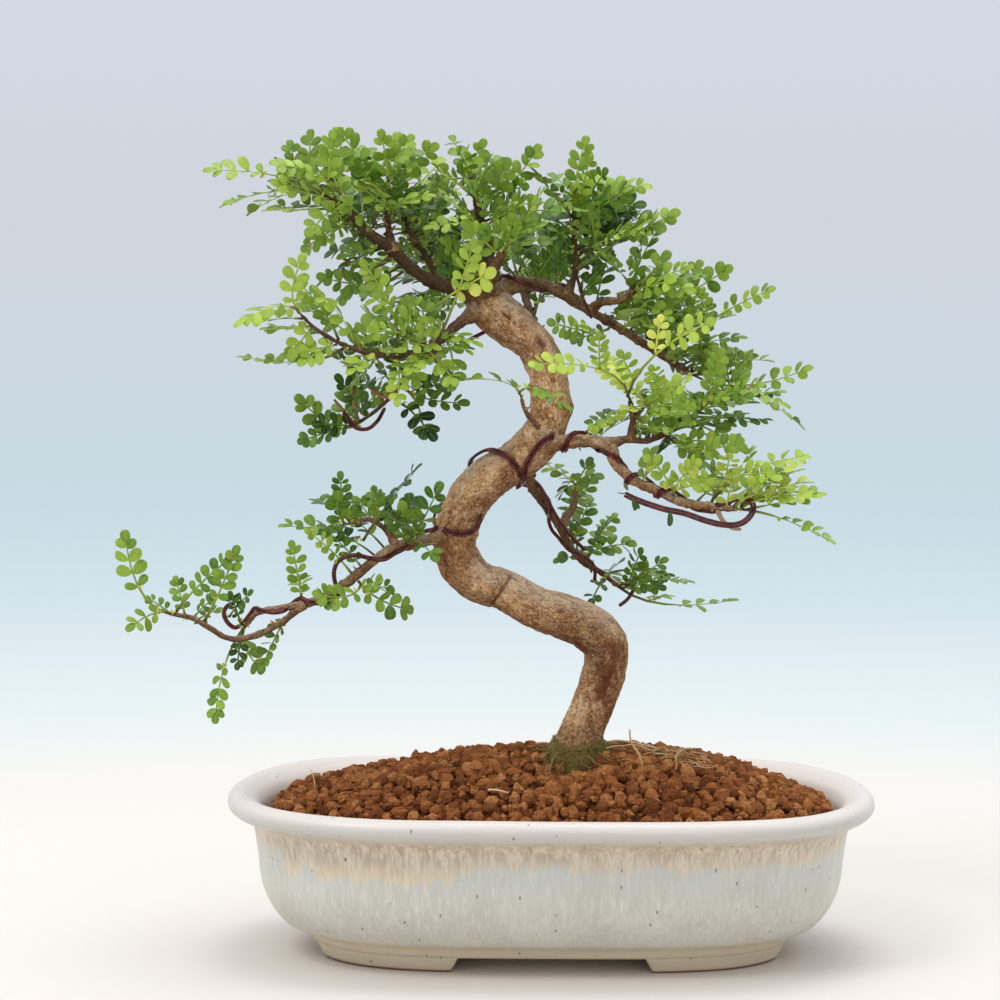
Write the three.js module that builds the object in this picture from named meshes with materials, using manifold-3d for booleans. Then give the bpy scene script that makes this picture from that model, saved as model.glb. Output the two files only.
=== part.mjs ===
// Japanese pepper bonsai: a small-leaved informal upright tree with an S-bent trunk,
// wired branches and pinnate leaves, planted in granular soil in an oval glazed pot.
// Millimetres, +Z up. The tree is laid out from the pot's centre, with z = 0 under its feet.
import * as THREE from 'three';
import { mergeVertices } from 'three/addons/utils/BufferGeometryUtils.js';
import Module from 'manifold-3d';

const wasm = await Module();
wasm.setup();

// Driving dimensions of the pot
const potLength = 360;
const potDepth = 240;
const potHeight = 90;
const footHeight = 8.5;
const footRoot = 0.6;          // how far the feet run up into the body
const frontGap = 50;           // half the gap between two feet along the pot, at its top
const sideGap = 24;            // the same across the pot
const gapFlare = 5;            // how much wider each gap is at the ground
const floorTop = 17;
const rimRise = 6;            // the fired rim lifts a little at its back corners
const potSegments = 40;

// Driving dimensions of the filling
const soilPeak = 115;
const soilFall = 35;          // how far the mound drops from its peak to the wall
const seatGap = 0.3;          // clearance between pieces that touch
const drainRadius = 9;
const drainOffset = 62;       // each drain hole's distance from the pot's centre
const screenSize = 26;
const screenThickness = 1.2;

// Driving dimensions of the tree, its wires and its leaves
const trunkSides = 12;
const trunkStep = 9.5;        // distance between the trunk's rings
const trunkKnobs = 0.03;
const branchSides = 5;
const branchStep = 16;
const wiredStep = 9;            // the same on limbs that carry a wire
const rootStep = 16;
const wireRadius = 1.2;
const wireGap = 0.6;           // how far a coil stands off the bark
const stepsPerTurn = 7;
const ribHalfWidth = 0.6;
const ribHalfHeight = 0.5;
const leafletLength = 7.4;
const leafletRise = 0.6;       // how far a leaflet's middle stands above its edge
const leafPitch = 8.6;        // distance between neighbouring pairs of leaflets
const leafClearance = 3.1;    // least distance between the sample points of two sprays

// Pot walls as [inset from the rim's plan outline, height]
const outerWall = [
  [46.5, footHeight], [40, 14], [31, 18.5], [24, 27], [19, 39], [16.5, 57],
  [14.5, 69.5], [10, 75.5], [3, 78.5], [0, 82.5], [0, 86], [2.5, 89], [6.5, potHeight], [9.5, 89],
];
const innerWall = [
  [15, 86.2], [20, 80], [23, 62], [27, 36], [34, 22], [46, floorTop],
];

// Wood as points [x, y, z, radius] from the base of each limb to its tip
const limbs = {
  trunk: [
    [12, 0, 92, 10], [14, 0, 110, 15], [18, -1, 123, 12.8], [24, -3, 140, 11.6], [30, -6, 158, 11.2],
    [30, -7, 172, 12.2], [19, -6, 182, 12.8], [4, -3, 187, 12.4], [-10, 0, 191, 11.8],
    [-27, 5, 200, 10.8],
    [-41, 8, 205, 11.3], [-51, 9, 214, 12.2], [-55, 8, 226, 11.5], [-53, 7, 237, 12], [-46, 5, 252, 12.9],
    [-35, 2, 264, 12.9], [-24, 0, 271, 11.6], [-14, -4, 279, 11.2], [-6, -7, 289, 11.2], [-2, -8, 300, 11.2],
    [-2, -7, 313, 10.6], [-4, -5, 325, 10.4], [-10, 0, 337, 10.9], [-19, 3, 345, 11.8], [-28, 6, 352, 12.8],
    [-36, 8, 360, 12.4], [-39, 8, 366, 9],
  ],
  crownLeft: [
    [-38, 8, 361, 7], [-50, 6, 367, 5.6], [-62, 3, 370, 4.6], [-76, 0, 377, 4], [-89, -5, 389, 3.9],
    [-105, -10, 401, 3.5], [-114, -14, 411, 2.6], [-122, -18, 417, 1.7],
  ],
  riserA: [[-89, -5, 388, 2.8], [-92, -2, 405, 2.1], [-92, 2, 424, 1.4]],
  riserB: [[-62, 3, 370, 2.8], [-70, 12, 384, 2.2], [-82, 22, 403, 2], [-87, 28, 420, 1.4]],
  leftMid: [
    [-40, 7, 357, 7], [-54, 0, 348, 5.4], [-65, -10, 338, 3.9], [-84, -20, 332, 3], [-100, -27, 333, 2.6],
    [-113, -32, 337, 2.3], [-130, -38, 347, 1.8], [-138, -42, 355, 1.4],
  ],
  leftHook: [
    [-65, -10, 338, 3], [-73, -4, 326, 2.6], [-82, 2, 318, 2.4], [-89, 8, 309, 2.1], [-100, 12, 299, 1.9],
    [-110, 16, 292, 1.5],
  ],
  crownRight: [
    [-35, 8, 362, 6.4], [-25, 10, 369, 4.8], [-13, 14, 371, 3.7], [0, 18, 368, 3.3], [11, 22, 362, 3],
    [20, 25, 356, 2.7], [34, 28, 348, 2.4], [50, 30, 338, 2.3], [63, 30, 330, 2.1], [77, 28, 321, 1.5],
  ],
  rightStub: [[20, 25, 356, 2.5], [28, 22, 361, 2.3], [37, 18, 362, 2], [45, 14, 368, 1.6]],
  rightRiser: [[7, 20, 364, 2.8], [12, 24, 378, 2.4], [12, 28, 393, 2], [11, 30, 408, 1.4]],
  leader: [
    [-36, 8, 362, 7], [-36, 12, 378, 5], [-38, 14, 394, 3.6], [-42, 12, 411, 2.4], [-46, 10, 426, 1.4],
  ],
  deadSpike: [[-39, 4, 364, 5], [-34, -8, 378, 3.6], [-28, -18, 389, 1.8]],
  rightMid: [
    [-9, -6, 281, 5.6], [2, -14, 284, 4.4], [15, -22, 286, 3.9], [30, -30, 283, 3.5], [34, -33, 274, 3.1],
    [44, -38, 265, 2.8], [56, -42, 260, 2.6], [70, -46, 254, 2.3], [87, -50, 252, 1.9], [100, -52, 251, 1.4],
  ],
  rightUp: [
    [29, -30, 284, 3], [40, -28, 287, 2.6], [51, -24, 286, 2.4], [63, -20, 291, 2.2], [74, -16, 297, 2],
    [86, -10, 309, 1.4],
  ],
  rightTwig: [[42, -28, 287, 2.2], [43, -32, 298, 1.8], [41, -38, 309, 1.4]],
  backLow: [
    [-16, 2, 268, 4.6], [-11, 14, 257, 3.4], [-4, 24, 247, 2.9], [4, 34, 234, 2.6], [10, 42, 223, 2.4],
    [18, 48, 213, 2.2], [30, 54, 205, 1.9], [38, 58, 198, 1.4],
  ],
  backTwig: [[5, 36, 232, 2.2], [9, 38, 240, 1.9], [13, 40, 247, 1.6], [13, 42, 254, 1.3]],
  lowLeft: [
    [-55, 6, 230, 5], [-66, -4, 230, 3.6], [-77, -12, 228, 2.9], [-88, -18, 226, 2.5], [-100, -24, 218, 2.4],
    [-115, -30, 206, 2.5], [-127, -34, 199, 2.3], [-138, -36, 196, 2], [-150, -36, 194, 1.7],
    [-162, -34, 191, 1.5], [-168, -32, 184, 1.2],
  ],
  lowTip: [
    [-136, -36, 196, 1.9], [-151, -42, 185, 1.6], [-166, -46, 179, 1.6], [-177, -48, 179, 1.5],
    [-187, -50, 185, 1.4], [-196, -50, 190, 1.2], [-207, -50, 192, 1],
  ],
  lowUp: [[-86, -17, 227, 2.1], [-92, -20, 236, 1.9], [-101, -24, 242, 1.6], [-111, -26, 240, 1.2]],
  trunkTwig: [[-4, -9, 288, 2.6], [-11, -22, 296, 1.9], [-16, -30, 303, 1.6], [-18, -34, 310, 1.2]],
  backCrown: [
    [-7, 2, 333, 5], [-9, 30, 339, 3.8], [-12, 52, 349, 3.1], [-15, 70, 361, 2.4], [-19, 84, 372, 1.6],
  ],
  backLeft: [[-29, 8, 356, 5.4], [-46, 34, 362, 3.8], [-59, 56, 370, 2.8], [-69, 72, 382, 1.6]],
};

// Surface roots as [direction in degrees, reach, radius at the trunk]
const roots = [[205, 27, 4.5], [270, 26, 4.5], [325, 30, 5], [40, 27, 4.5], [125, 27, 5]];

// Leaf sprays as [name, limb, place along it, leaf tips], each tip as [x, y, z, face],
// where face turns a leaf's blade from lying flat, 0, to facing the front, 1
const sprays = [
  ['crown_left_end', 'crownLeft', 1, [[-189, -36, 432, 0.4], [-182, -20, 413, 0.1], [-168, -4, 409, 0.15]]],
  ['crown_left_top', 'crownLeft', 0.93, [[-127, -24, 443, 0.8], [-153, -42, 436, 0.5]]],
  ['crown_left_under', 'crownLeft', 0.85, [[-129, -24, 393, 0.7], [-139, 2, 389, 0.8]]],
  ['crown_left_back', 'crownLeft', 0.72, [[-120, -6, 456, 0.9]]],
  ['crown_left_low', 'crownLeft', 0.45, [[-129, -14, 375, 0.8]]],
  ['riser_a_top', 'riserA', 1, [[-96, -10, 454, 0.6], [-79, 12, 452, 0.9], [-113, 26, 445, 0.5]]],
  ['riser_a_front', 'riserA', 0.55, [[-99, -42, 425, 0.4], [-69, -38, 419, 0.4]]],
  ['riser_b_top', 'riserB', 1, [[-66, 26, 447, 0.8], [-88, 40, 454, 0.8]]],
  ['leader_top', 'leader', 1, [[-39, 4, 449, 0.9], [-53, -16, 444, 0.8]]],
  ['leader_front', 'leader', 0.6, [[-62, -46, 422, 0.4], [-19, -42, 414, 0.4]]],
  ['leader_right', 'leader', 0.82, [[-9, 18, 447, 0.8]]],
  ['riser_r_top', 'rightRiser', 1, [[18, 34, 452, 0.9], [53, 24, 425, 0.5], [27, 62, 432, 0.5]]],
  ['riser_r_side', 'rightRiser', 0.55, [[68, 12, 411, 0.7], [37, -14, 400, 0.6]]],
  ['spike_shoot', 'deadSpike', 1, [[-24, -40, 413, 0.6], [-8, -46, 403, 0.4]]],
  ['stub_end', 'rightStub', 1, [[63, 12, 388, 0.8], [76, -8, 367, 0.6]]],
  ['crown_right_front', 'crownRight', 0.6, [[-3, -34, 351, 0.9]]],
  ['crown_right_up', 'crownRight', 0.76, [[98, 18, 380, 0.8], [83, 40, 383, 0.8]]],
  ['crown_right_out', 'crownRight', 0.9, [[121, 4, 369, 0.6]]],
  ['crown_right_end', 'crownRight', 1, [[143, 16, 325, 0.5], [103, -12, 334, 0.8]]],
  ['right_up_end', 'rightUp', 1, [[128, -18, 305, 0.2], [139, 6, 292, 0.2]]],
  ['right_up_over', 'rightUp', 0.8, [[91, -36, 336, 0.8], [112, -46, 318, 0.5]]],
  ['right_up_mid', 'rightUp', 0.5, [[101, -52, 288, 0.8], [83, -12, 272, 0.6]]],
  ['twig_end', 'rightTwig', 1, [[-13, -66, 329, 0.5], [83, -78, 353, 0.8]]],
  ['twig_side', 'rightTwig', 0.55, [[25, -12, 327, 0.7], [71, -80, 322, 0.7]]],
  ['right_end', 'rightMid', 1, [[150, -62, 234, 0.2], [146, -46, 259, 0.3]]],
  ['right_over', 'rightMid', 0.88, [[116, -74, 272, 0.8], [139, -28, 278, 0.4]]],
  ['right_low', 'rightMid', 0.72, [[77, -76, 278, 0.8], [49, -62, 279, 0.8]]],
  ['back_end', 'backLow', 1, [[106, 62, 190, 0.2], [66, 80, 204, 0.7]]],
  ['back_mid', 'backLow', 0.78, [[48, 72, 221, 0.6], [3, 56, 212, 0.4]]],
  ['back_twig_end', 'backTwig', 1, [[28, 46, 261, 0.5], [5, 62, 248, 0.4]]],
  ['low_end', 'lowLeft', 1, [[-185, -30, 131, 0.6], [-160, -14, 157, 0.7]]],
  ['low_mid', 'lowLeft', 0.74, [[-139, -22, 210, 0.5]]],
  ['low_under', 'lowLeft', 0.5, [[-78, -12, 191, 0.8], [-129, -46, 204, 0.7]]],
  ['low_over', 'lowLeft', 0.25, [[-62, -34, 262, 0.6], [-64, -46, 222, 0.4]]],
  ['low_up_end', 'lowUp', 1, [[-149, -32, 239, 0.3], [-117, -40, 257, 0.9]]],
  ['tip_end', 'lowTip', 1, [[-232, -52, 236, 0.8], [-229, -62, 185, 0.7]]],
  ['tip_up', 'lowTip', 0.78, [[-171, -60, 229, 0.9]]],
  ['left_end', 'leftMid', 1, [[-136, -46, 386, 0.9], [-171, -56, 349, 0.3]]],
  ['left_out', 'leftMid', 0.74, [[-172, -22, 331, 0.15]]],
  ['left_front', 'leftMid', 0.5, [[-104, -54, 383, 0.9], [-73, -58, 363, 0.6]]],
  ['left_inner', 'leftMid', 0.3, [[-44, -54, 395, 0.9], [-41, -30, 338, 0.2]]],
  ['hook_side', 'leftHook', 0.5, [[-48, 4, 305, 0.6], [-72, 14, 285, 0.8]]],
  ['hook_end', 'leftHook', 1, [[-142, 12, 307, 0.8], [-113, 40, 313, 0.7]]],
  ['trunk_twig_end', 'trunkTwig', 1, [[-46, -44, 320, 0.15], [8, -58, 305, 0.15]]],
  ['back_crown_end', 'backCrown', 1, [[-30, 112, 420, 0.4], [8, 108, 416, 0.3]]],
  ['back_crown_side', 'backCrown', 0.64, [[27, 84, 389, 0.3], [-38, 92, 401, 0.3]]],
  ['back_left_end', 'backLeft', 1, [[-89, 106, 410, 0.5], [-65, 88, 429, 0.5], [-102, 92, 382, 0.4]]],
  ['back_left_side', 'backLeft', 0.6, [[-76, 96, 360, 0.3]]],
];

// Training wires, each a run of free points and of coils [limb, from, to, turns, starting angle in degrees]
const wires = {
  wire_low_left: [
    ['trunk', 0.522, 0.549, 0.7, 100],
    ['lowLeft', 0.092, 0.904, 5.85, -45],
    [-172, -33, 190], [-178, -35, 196], [-181, -36, 202], [-176, -37, 207],
  ],
  wire_right: [
    ['trunk', 0.655, 0.678, 0.45, -115],
    [-12, -15, 266], [-6, -20, 274], [-3, -22, 282],
    ['rightMid', 0.081, 0.929, -3.8, 65],
    [100, -59, 246], [98, -62, 241], [88, -61, 241], [76, -60, 244], [62, -57, 248], [50, -54, 253],
  ],
  wire_back: [
    [-44, 22, 260], [-32, 22, 263],
    ['backLow', 0.14, 0.893, 3.1, -135],
    [40, 62, 205], [36, 66, 198],
  ],
  wire_crown: [
    [-20, 21, 350], [-21, 22, 360],
    ['crownRight', 0.159, 0.441, 1.5, 120],
    [24, 20, 352], [27, 17, 346],
  ],
};

// Small helpers on plain vectors
const vec = (a) => new THREE.Vector3(a[0], a[1], a[2]);
const up = new THREE.Vector3(0, 0, 1);
const back = new THREE.Vector3(0, 1, 0);

// A closed mesh of points and triangles, made into a solid
function solidOf(points, triangles) {
  return new wasm.Manifold(new wasm.Mesh({
    numProp: 3,
    vertProperties: Float32Array.from(points.flat()),
    triVerts: Uint32Array.from(triangles.flat()),
  }));
}

function solidFromGeometry(geometry) {
  const bare = geometry.clone();
  bare.deleteAttribute('normal');
  bare.deleteAttribute('uv');
  const merged = mergeVertices(bare, 1e-4);
  return new wasm.Manifold(new wasm.Mesh({
    numProp: 3,
    vertProperties: new Float32Array(merged.attributes.position.array),
    triVerts: new Uint32Array(merged.index.array),
  }));
}

function meshOf(name, solid, material) {
  const { vertProperties, triVerts, numProp } = solid.getMesh();
  const geometry = new THREE.BufferGeometry();
  const positions = new Float32Array((vertProperties.length / numProp) * 3);
  for (let i = 0; i < positions.length / 3; i += 1) {
    positions.set(vertProperties.subarray(i * numProp, i * numProp + 3), i * 3);
  }
  geometry.setAttribute('position', new THREE.BufferAttribute(positions, 3));
  geometry.setIndex(new THREE.BufferAttribute(new Uint32Array(triVerts), 1));
  geometry.computeVertexNormals();
  const mesh = new THREE.Mesh(geometry, material);
  mesh.name = name;
  return mesh;
}

// Rings of equal length joined into a skin, with a fan to a point at each end
function ringSolid(rings, startPoint, endPoint) {
  const sides = rings[0].length;
  const points = [...rings.flat(), startPoint, endPoint];
  const start = points.length - 2;
  const end = points.length - 1;
  const last = (rings.length - 1) * sides;
  const triangles = [];
  for (let j = 0; j < sides; j += 1) {
    const k = (j + 1) % sides;
    triangles.push([start, k, j], [end, last + j, last + k]);
    for (let i = 0; i < rings.length - 1; i += 1) {
      const a = i * sides;
      const b = a + sides;
      triangles.push([a + j, a + k, b + k], [a + j, b + k, b + j]);
    }
  }
  return solidOf(points, triangles);
}

// The pot's plan outline, flat along its sides and round at its ends:
// |x|^4 + y^2 = 1 for unit half-lengths, with points spaced evenly along the real rim
function evenOutline(count) {
  const fine = 720;
  const track = [];
  let length = 0;
  for (let i = 0; i <= fine; i += 1) {
    const angle = (i / fine) * 2 * Math.PI;
    const x = Math.sign(Math.cos(angle)) * Math.sqrt(Math.abs(Math.cos(angle)));
    const y = Math.sin(angle);
    if (i > 0) {
      const before = track[i - 1];
      length += Math.hypot((x - before.x) * potLength, (y - before.y) * potDepth) / 2;
    }
    track.push({ x, y, length });
  }
  const outline = [];
  let i = 0;
  for (let n = 0; n < count; n += 1) {
    const target = (n / count) * length;
    while (track[i + 1].length < target) i += 1;
    const f = (target - track[i].length) / (track[i + 1].length - track[i].length);
    outline.push([
      track[i].x + f * (track[i + 1].x - track[i].x),
      track[i].y + f * (track[i + 1].y - track[i].y),
    ]);
  }
  return outline;
}

const outline = evenOutline(potSegments);

// A ring of the pot at one inset and height; its rim lifts towards the back corners
function potRing([inset, z]) {
  const rise = rimRise * Math.max(0, (z - floorTop) / (potHeight - floorTop)) ** 3;
  return outline.map(([ux, uy]) => [
    (potLength / 2 - inset) * ux,
    (potDepth / 2 - inset) * uy,
    z + rise * ux * ux * Math.max(0, uy) ** 2,
  ]);
}

function prismAlong(axis, topHalf, bottomHalf, reach) {
  const top = footHeight + footRoot / 2;
  const shape = new THREE.Shape([
    new THREE.Vector2(-bottomHalf, -1), new THREE.Vector2(bottomHalf, -1),
    new THREE.Vector2(topHalf, top), new THREE.Vector2(-topHalf, top),
  ]);
  const geometry = new THREE.ExtrudeGeometry(shape, { depth: 2 * reach, bevelEnabled: false, steps: 1 });
  geometry.translate(0, 0, -reach);
  geometry.rotateX(Math.PI / 2);
  if (axis === 'x') geometry.rotateZ(Math.PI / 2);
  return solidFromGeometry(geometry);
}

function makePot() {
  const rings = [...outerWall, ...innerWall].map(potRing);
  let pot = ringSolid(rings, [0, 0, footHeight], [0, 0, floorTop]);

  // Foot ring under the body, cut into four feet
  const footOuter = [[46.5, footHeight + footRoot], [50, 0]].map(potRing);
  const footInner = [[63, 0], [61, footHeight + footRoot]].map(potRing);
  const footRings = [...footInner, ...footOuter].reverse();
  const sides = potSegments;
  const triangles = [];
  for (let i = 0; i < 4; i += 1) {
    const a = i * sides;
    const b = ((i + 1) % 4) * sides;
    for (let j = 0; j < sides; j += 1) {
      const k = (j + 1) % sides;
      triangles.push([a + j, a + k, b + k], [a + j, b + k, b + j]);
    }
  }
  const feet = solidOf(footRings.flat(), triangles)
    .subtract(prismAlong('y', frontGap, frontGap + gapFlare, potDepth))
    .subtract(prismAlong('x', sideGap, sideGap + gapFlare, potLength));
  pot = pot.add(feet);

  for (const side of [-1, 1]) {
    const hole = new THREE.CylinderGeometry(drainRadius, drainRadius, 20, 12);
    hole.rotateX(Math.PI / 2);
    hole.translate(side * drainOffset, 0, (footHeight + floorTop) / 2);
    pot = pot.subtract(solidFromGeometry(hole));
  }
  return pot;
}

// Plastic mesh that keeps the soil in over a drain hole
function makeScreen(side) {
  const holes = 2;
  const openShare = 0.66;
  const cell = screenSize / (holes + 0.6);
  const box = (width, height, x, y) => {
    const geometry = new THREE.BoxGeometry(width, width, height);
    geometry.translate(side * drainOffset + x, y, floorTop + seatGap + screenThickness / 2);
    return solidFromGeometry(geometry);
  };
  let screen = box(screenSize, screenThickness, 0, 0);
  for (let i = 0; i < holes; i += 1) {
    for (let j = 0; j < holes; j += 1) {
      const x = (i - (holes - 1) / 2) * cell;
      const y = (j - (holes - 1) / 2) * cell;
      screen = screen.subtract(box(cell * openShare, 3 * screenThickness, x, y));
    }
  }
  return screen;
}

// A repeatable scatter between -1 and 1 from two whole numbers
function scatter(i, j) {
  const s = Math.sin(i * 127.1 + j * 311.7) * 43758.5453;
  return 2 * (s - Math.floor(s)) - 1;
}

// The mound falls from its peak to the wall by the power of the distance out
function soilHeight(r) {
  return soilPeak - soilFall * r ** 2.2;
}

function makeSoil() {
  const edge = [20.4, soilHeight(1)];
  const fractions = [0.985, 0.86, 0.71, 0.55, 0.38, 0.2];
  const below = [[46.1, floorTop + seatGap], [34.3, 22.3], [27.4, 36], [23.4, 62], edge];
  const rings = below.map(([inset, z]) => outline.map(([ux, uy]) => [
    (potLength / 2 - inset) * ux, (potDepth / 2 - inset) * uy, z,
  ]));
  fractions.forEach((r, i) => {
    const lump = r > 0.95 || r < 0.2 ? 0 : 1;
    rings.push(outline.map(([ux, uy], j) => [
      (potLength / 2 - edge[0]) * ux * r + lump * 2 * scatter(i, j),
      (potDepth / 2 - edge[0]) * uy * r + lump * 1.2 * scatter(j, i),
      soilHeight(r) + lump * 1.5 * scatter(i + 40, j),
    ]));
  });
  let soil = ringSolid(rings, [0, 0, floorTop + seatGap], [0, 0, soilPeak]);
  soil = soil.subtract(trunkAndRoots(seatGap));
  for (const side of [-1, 1]) {
    const pocket = new THREE.BoxGeometry(screenSize + 2 * seatGap, screenSize + 2 * seatGap, 4);
    pocket.translate(side * drainOffset, 0, floorTop + screenThickness + 2 * seatGap - 2);
    soil = soil.subtract(solidFromGeometry(pocket));
  }
  return soil;
}

// A limb's centre line and radius along it
function limbPath(points) {
  const curve = new THREE.CatmullRomCurve3(points.map(vec), false, 'centripetal');
  curve.arcLengthDivisions = 400;
  const spans = points.length - 1;
  const radiusAt = (u) => {
    const t = Math.min(curve.getUtoTmapping(u) * spans, spans - 1e-9);
    const i = Math.floor(t);
    return points[i][3] + (points[i + 1][3] - points[i][3]) * (t - i);
  };
  return { curve, radiusAt, length: curve.getLength() };
}

const paths = Object.fromEntries(Object.entries(limbs).map(([name, points]) => [name, limbPath(points)]));

// Two directions square to a limb, carried from one place to the next with the least turn
function squareTo(along, side) {
  const start = side ?? new THREE.Vector3().crossVectors(along, Math.abs(along.z) > 0.9 ? back : up);
  start.addScaledVector(along, -start.dot(along)).normalize();
  return [start, new THREE.Vector3().crossVectors(along, start)];
}

// A round limb: rings square to its centre line, turned as little as possible from one to the next
function limbSolid(path, sides, step, swell, extra = 0) {
  const count = Math.max(2, Math.round(path.length / step));
  const rings = [];
  let side = null;
  let other = null;
  for (let i = 0; i <= count; i += 1) {
    const u = i / count;
    const along = path.curve.getTangentAt(u);
    const centre = path.curve.getPointAt(u);
    if (i === 0) centre.addScaledVector(along, -extra);
    if (i === count) centre.addScaledVector(along, extra);
    [side, other] = squareTo(along, side);
    const ring = [];
    for (let j = 0; j < sides; j += 1) {
      const a = (j / sides) * 2 * Math.PI;
      const knobs = 1 + swell * (Math.sin(3 * a + 9 * u) + Math.sin(2 * a - 23 * u));
      const r = path.radiusAt(u) * knobs + extra;
      const p = centre.clone().addScaledVector(side, r * Math.cos(a)).addScaledVector(other, r * Math.sin(a));
      ring.push(p.toArray());
    }
    rings.push(ring);
  }
  const startPoint = path.curve.getPointAt(0).addScaledVector(path.curve.getTangentAt(0), -extra);
  const endPoint = path.curve.getPointAt(1).addScaledVector(path.curve.getTangentAt(1), extra);
  return ringSolid(rings, startPoint.toArray(), endPoint.toArray());
}

// The wood that stands in the soil: the trunk and its surface roots, swollen by a clearance for their hole
function trunkAndRoots(extra) {
  let wood = limbSolid(paths.trunk, trunkSides, trunkStep, trunkKnobs, extra);
  for (const [degrees, reach, radius] of roots) {
    const a = (degrees * Math.PI) / 180;
    const place = (d, z) => [limbs.trunk[1][0] + d * Math.cos(a), limbs.trunk[1][1] + d * Math.sin(a), z];
    const root = limbPath([
      [...place(4, 121), radius + 1], [...place(14, 116), radius], [...place(reach, 108), radius * 0.45],
    ]);
    wood = wood.add(limbSolid(root, branchSides, rootStep, 0, extra));
  }
  return wood;
}

// A coil round a limb, kept just clear of its bark
function coilPoints([limb, from, to, turns, startDegrees]) {
  const path = paths[limb];
  const count = Math.round(Math.abs(turns) * stepsPerTurn);
  const points = [];
  let side = null;
  let other = null;
  for (let i = 0; i <= count; i += 1) {
    const u = from + ((to - from) * i) / count;
    [side, other] = squareTo(path.curve.getTangentAt(u), side);
    const a = (startDegrees * Math.PI) / 180 + (Math.sign(turns) * i * 2 * Math.PI) / stepsPerTurn;
    const swell = limb === 'trunk' ? 1 + 2 * trunkKnobs : 1;
    const r = (path.radiusAt(u) * swell + wireRadius + wireGap) / Math.cos(Math.PI / stepsPerTurn);
    const centre = path.curve.getPointAt(u);
    points.push(centre.addScaledVector(side, r * Math.cos(a)).addScaledVector(other, r * Math.sin(a)));
  }
  return points;
}

// The centre line of a training wire
function wireCurve(route) {
  const isCoil = (stretch) => typeof stretch[0] === 'string';
  const points = route.flatMap((stretch) => (isCoil(stretch) ? coilPoints(stretch) : [vec(stretch)]));
  return new THREE.CatmullRomCurve3(points, false, 'centripetal');
}

function makeWire(curve) {
  const section = new THREE.Shape();
  for (let j = 0; j < 5; j += 1) {
    const a = (j / 5) * 2 * Math.PI;
    if (j === 0) section.moveTo(wireRadius, 0);
    else section.lineTo(wireRadius * Math.cos(a), wireRadius * Math.sin(a));
  }
  section.closePath();
  const steps = Math.round(curve.points.length * 1.05);
  const options = { extrudePath: curve, steps, bevelEnabled: false };
  return solidFromGeometry(new THREE.ExtrudeGeometry(section, options));
}

// The course of one leaf from its root to its tip, leaving along a given direction
function leafCourse(root, direction, tip) {
  const length = root.distanceTo(tip);
  const bend = root.clone().addScaledVector(direction, length * 0.42);
  return new THREE.QuadraticBezierCurve3(root, bend, tip);
}

// The blade's own axes at a place along the leaf: along its rib, to its side, and its upper face
function leafFrame(course, face, t) {
  const along = course.getTangent(t).normalize();
  const upper = new THREE.Vector3(0, -face, 1 - face).normalize();
  upper.addScaledVector(along, -upper.dot(along)).normalize();
  const across = new THREE.Vector3().crossVectors(along, upper);
  return { centre: course.getPoint(t), along, upper, across };
}

// Where the pairs of leaflets begin and end along a leaf, as shares of its course
function leafStations(course) {
  const length = course.getLength();
  const pairs = length > 44 ? 3 : 2;
  const blade = pairs * leafPitch;
  const first = Math.max(0.12, 1 - (blade + leafletLength * 0.8) / length);
  const last = 1 - (leafletLength * 0.8) / length;
  return Array.from({ length: pairs + 1 }, (_, i) => first + ((last - first) * i) / pairs);
}

// One leaflet's outline, as [out from the rib, along the rib], for a blade of the given half-width
function leafletOutline(halfWidth, lean) {
  const shape = [[0.45, -1], [1, -0.3], [0.72, 0.95]];
  return shape.map(([out, wide]) => [out * leafletLength, wide * halfWidth + out * leafletLength * lean]);
}

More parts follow.
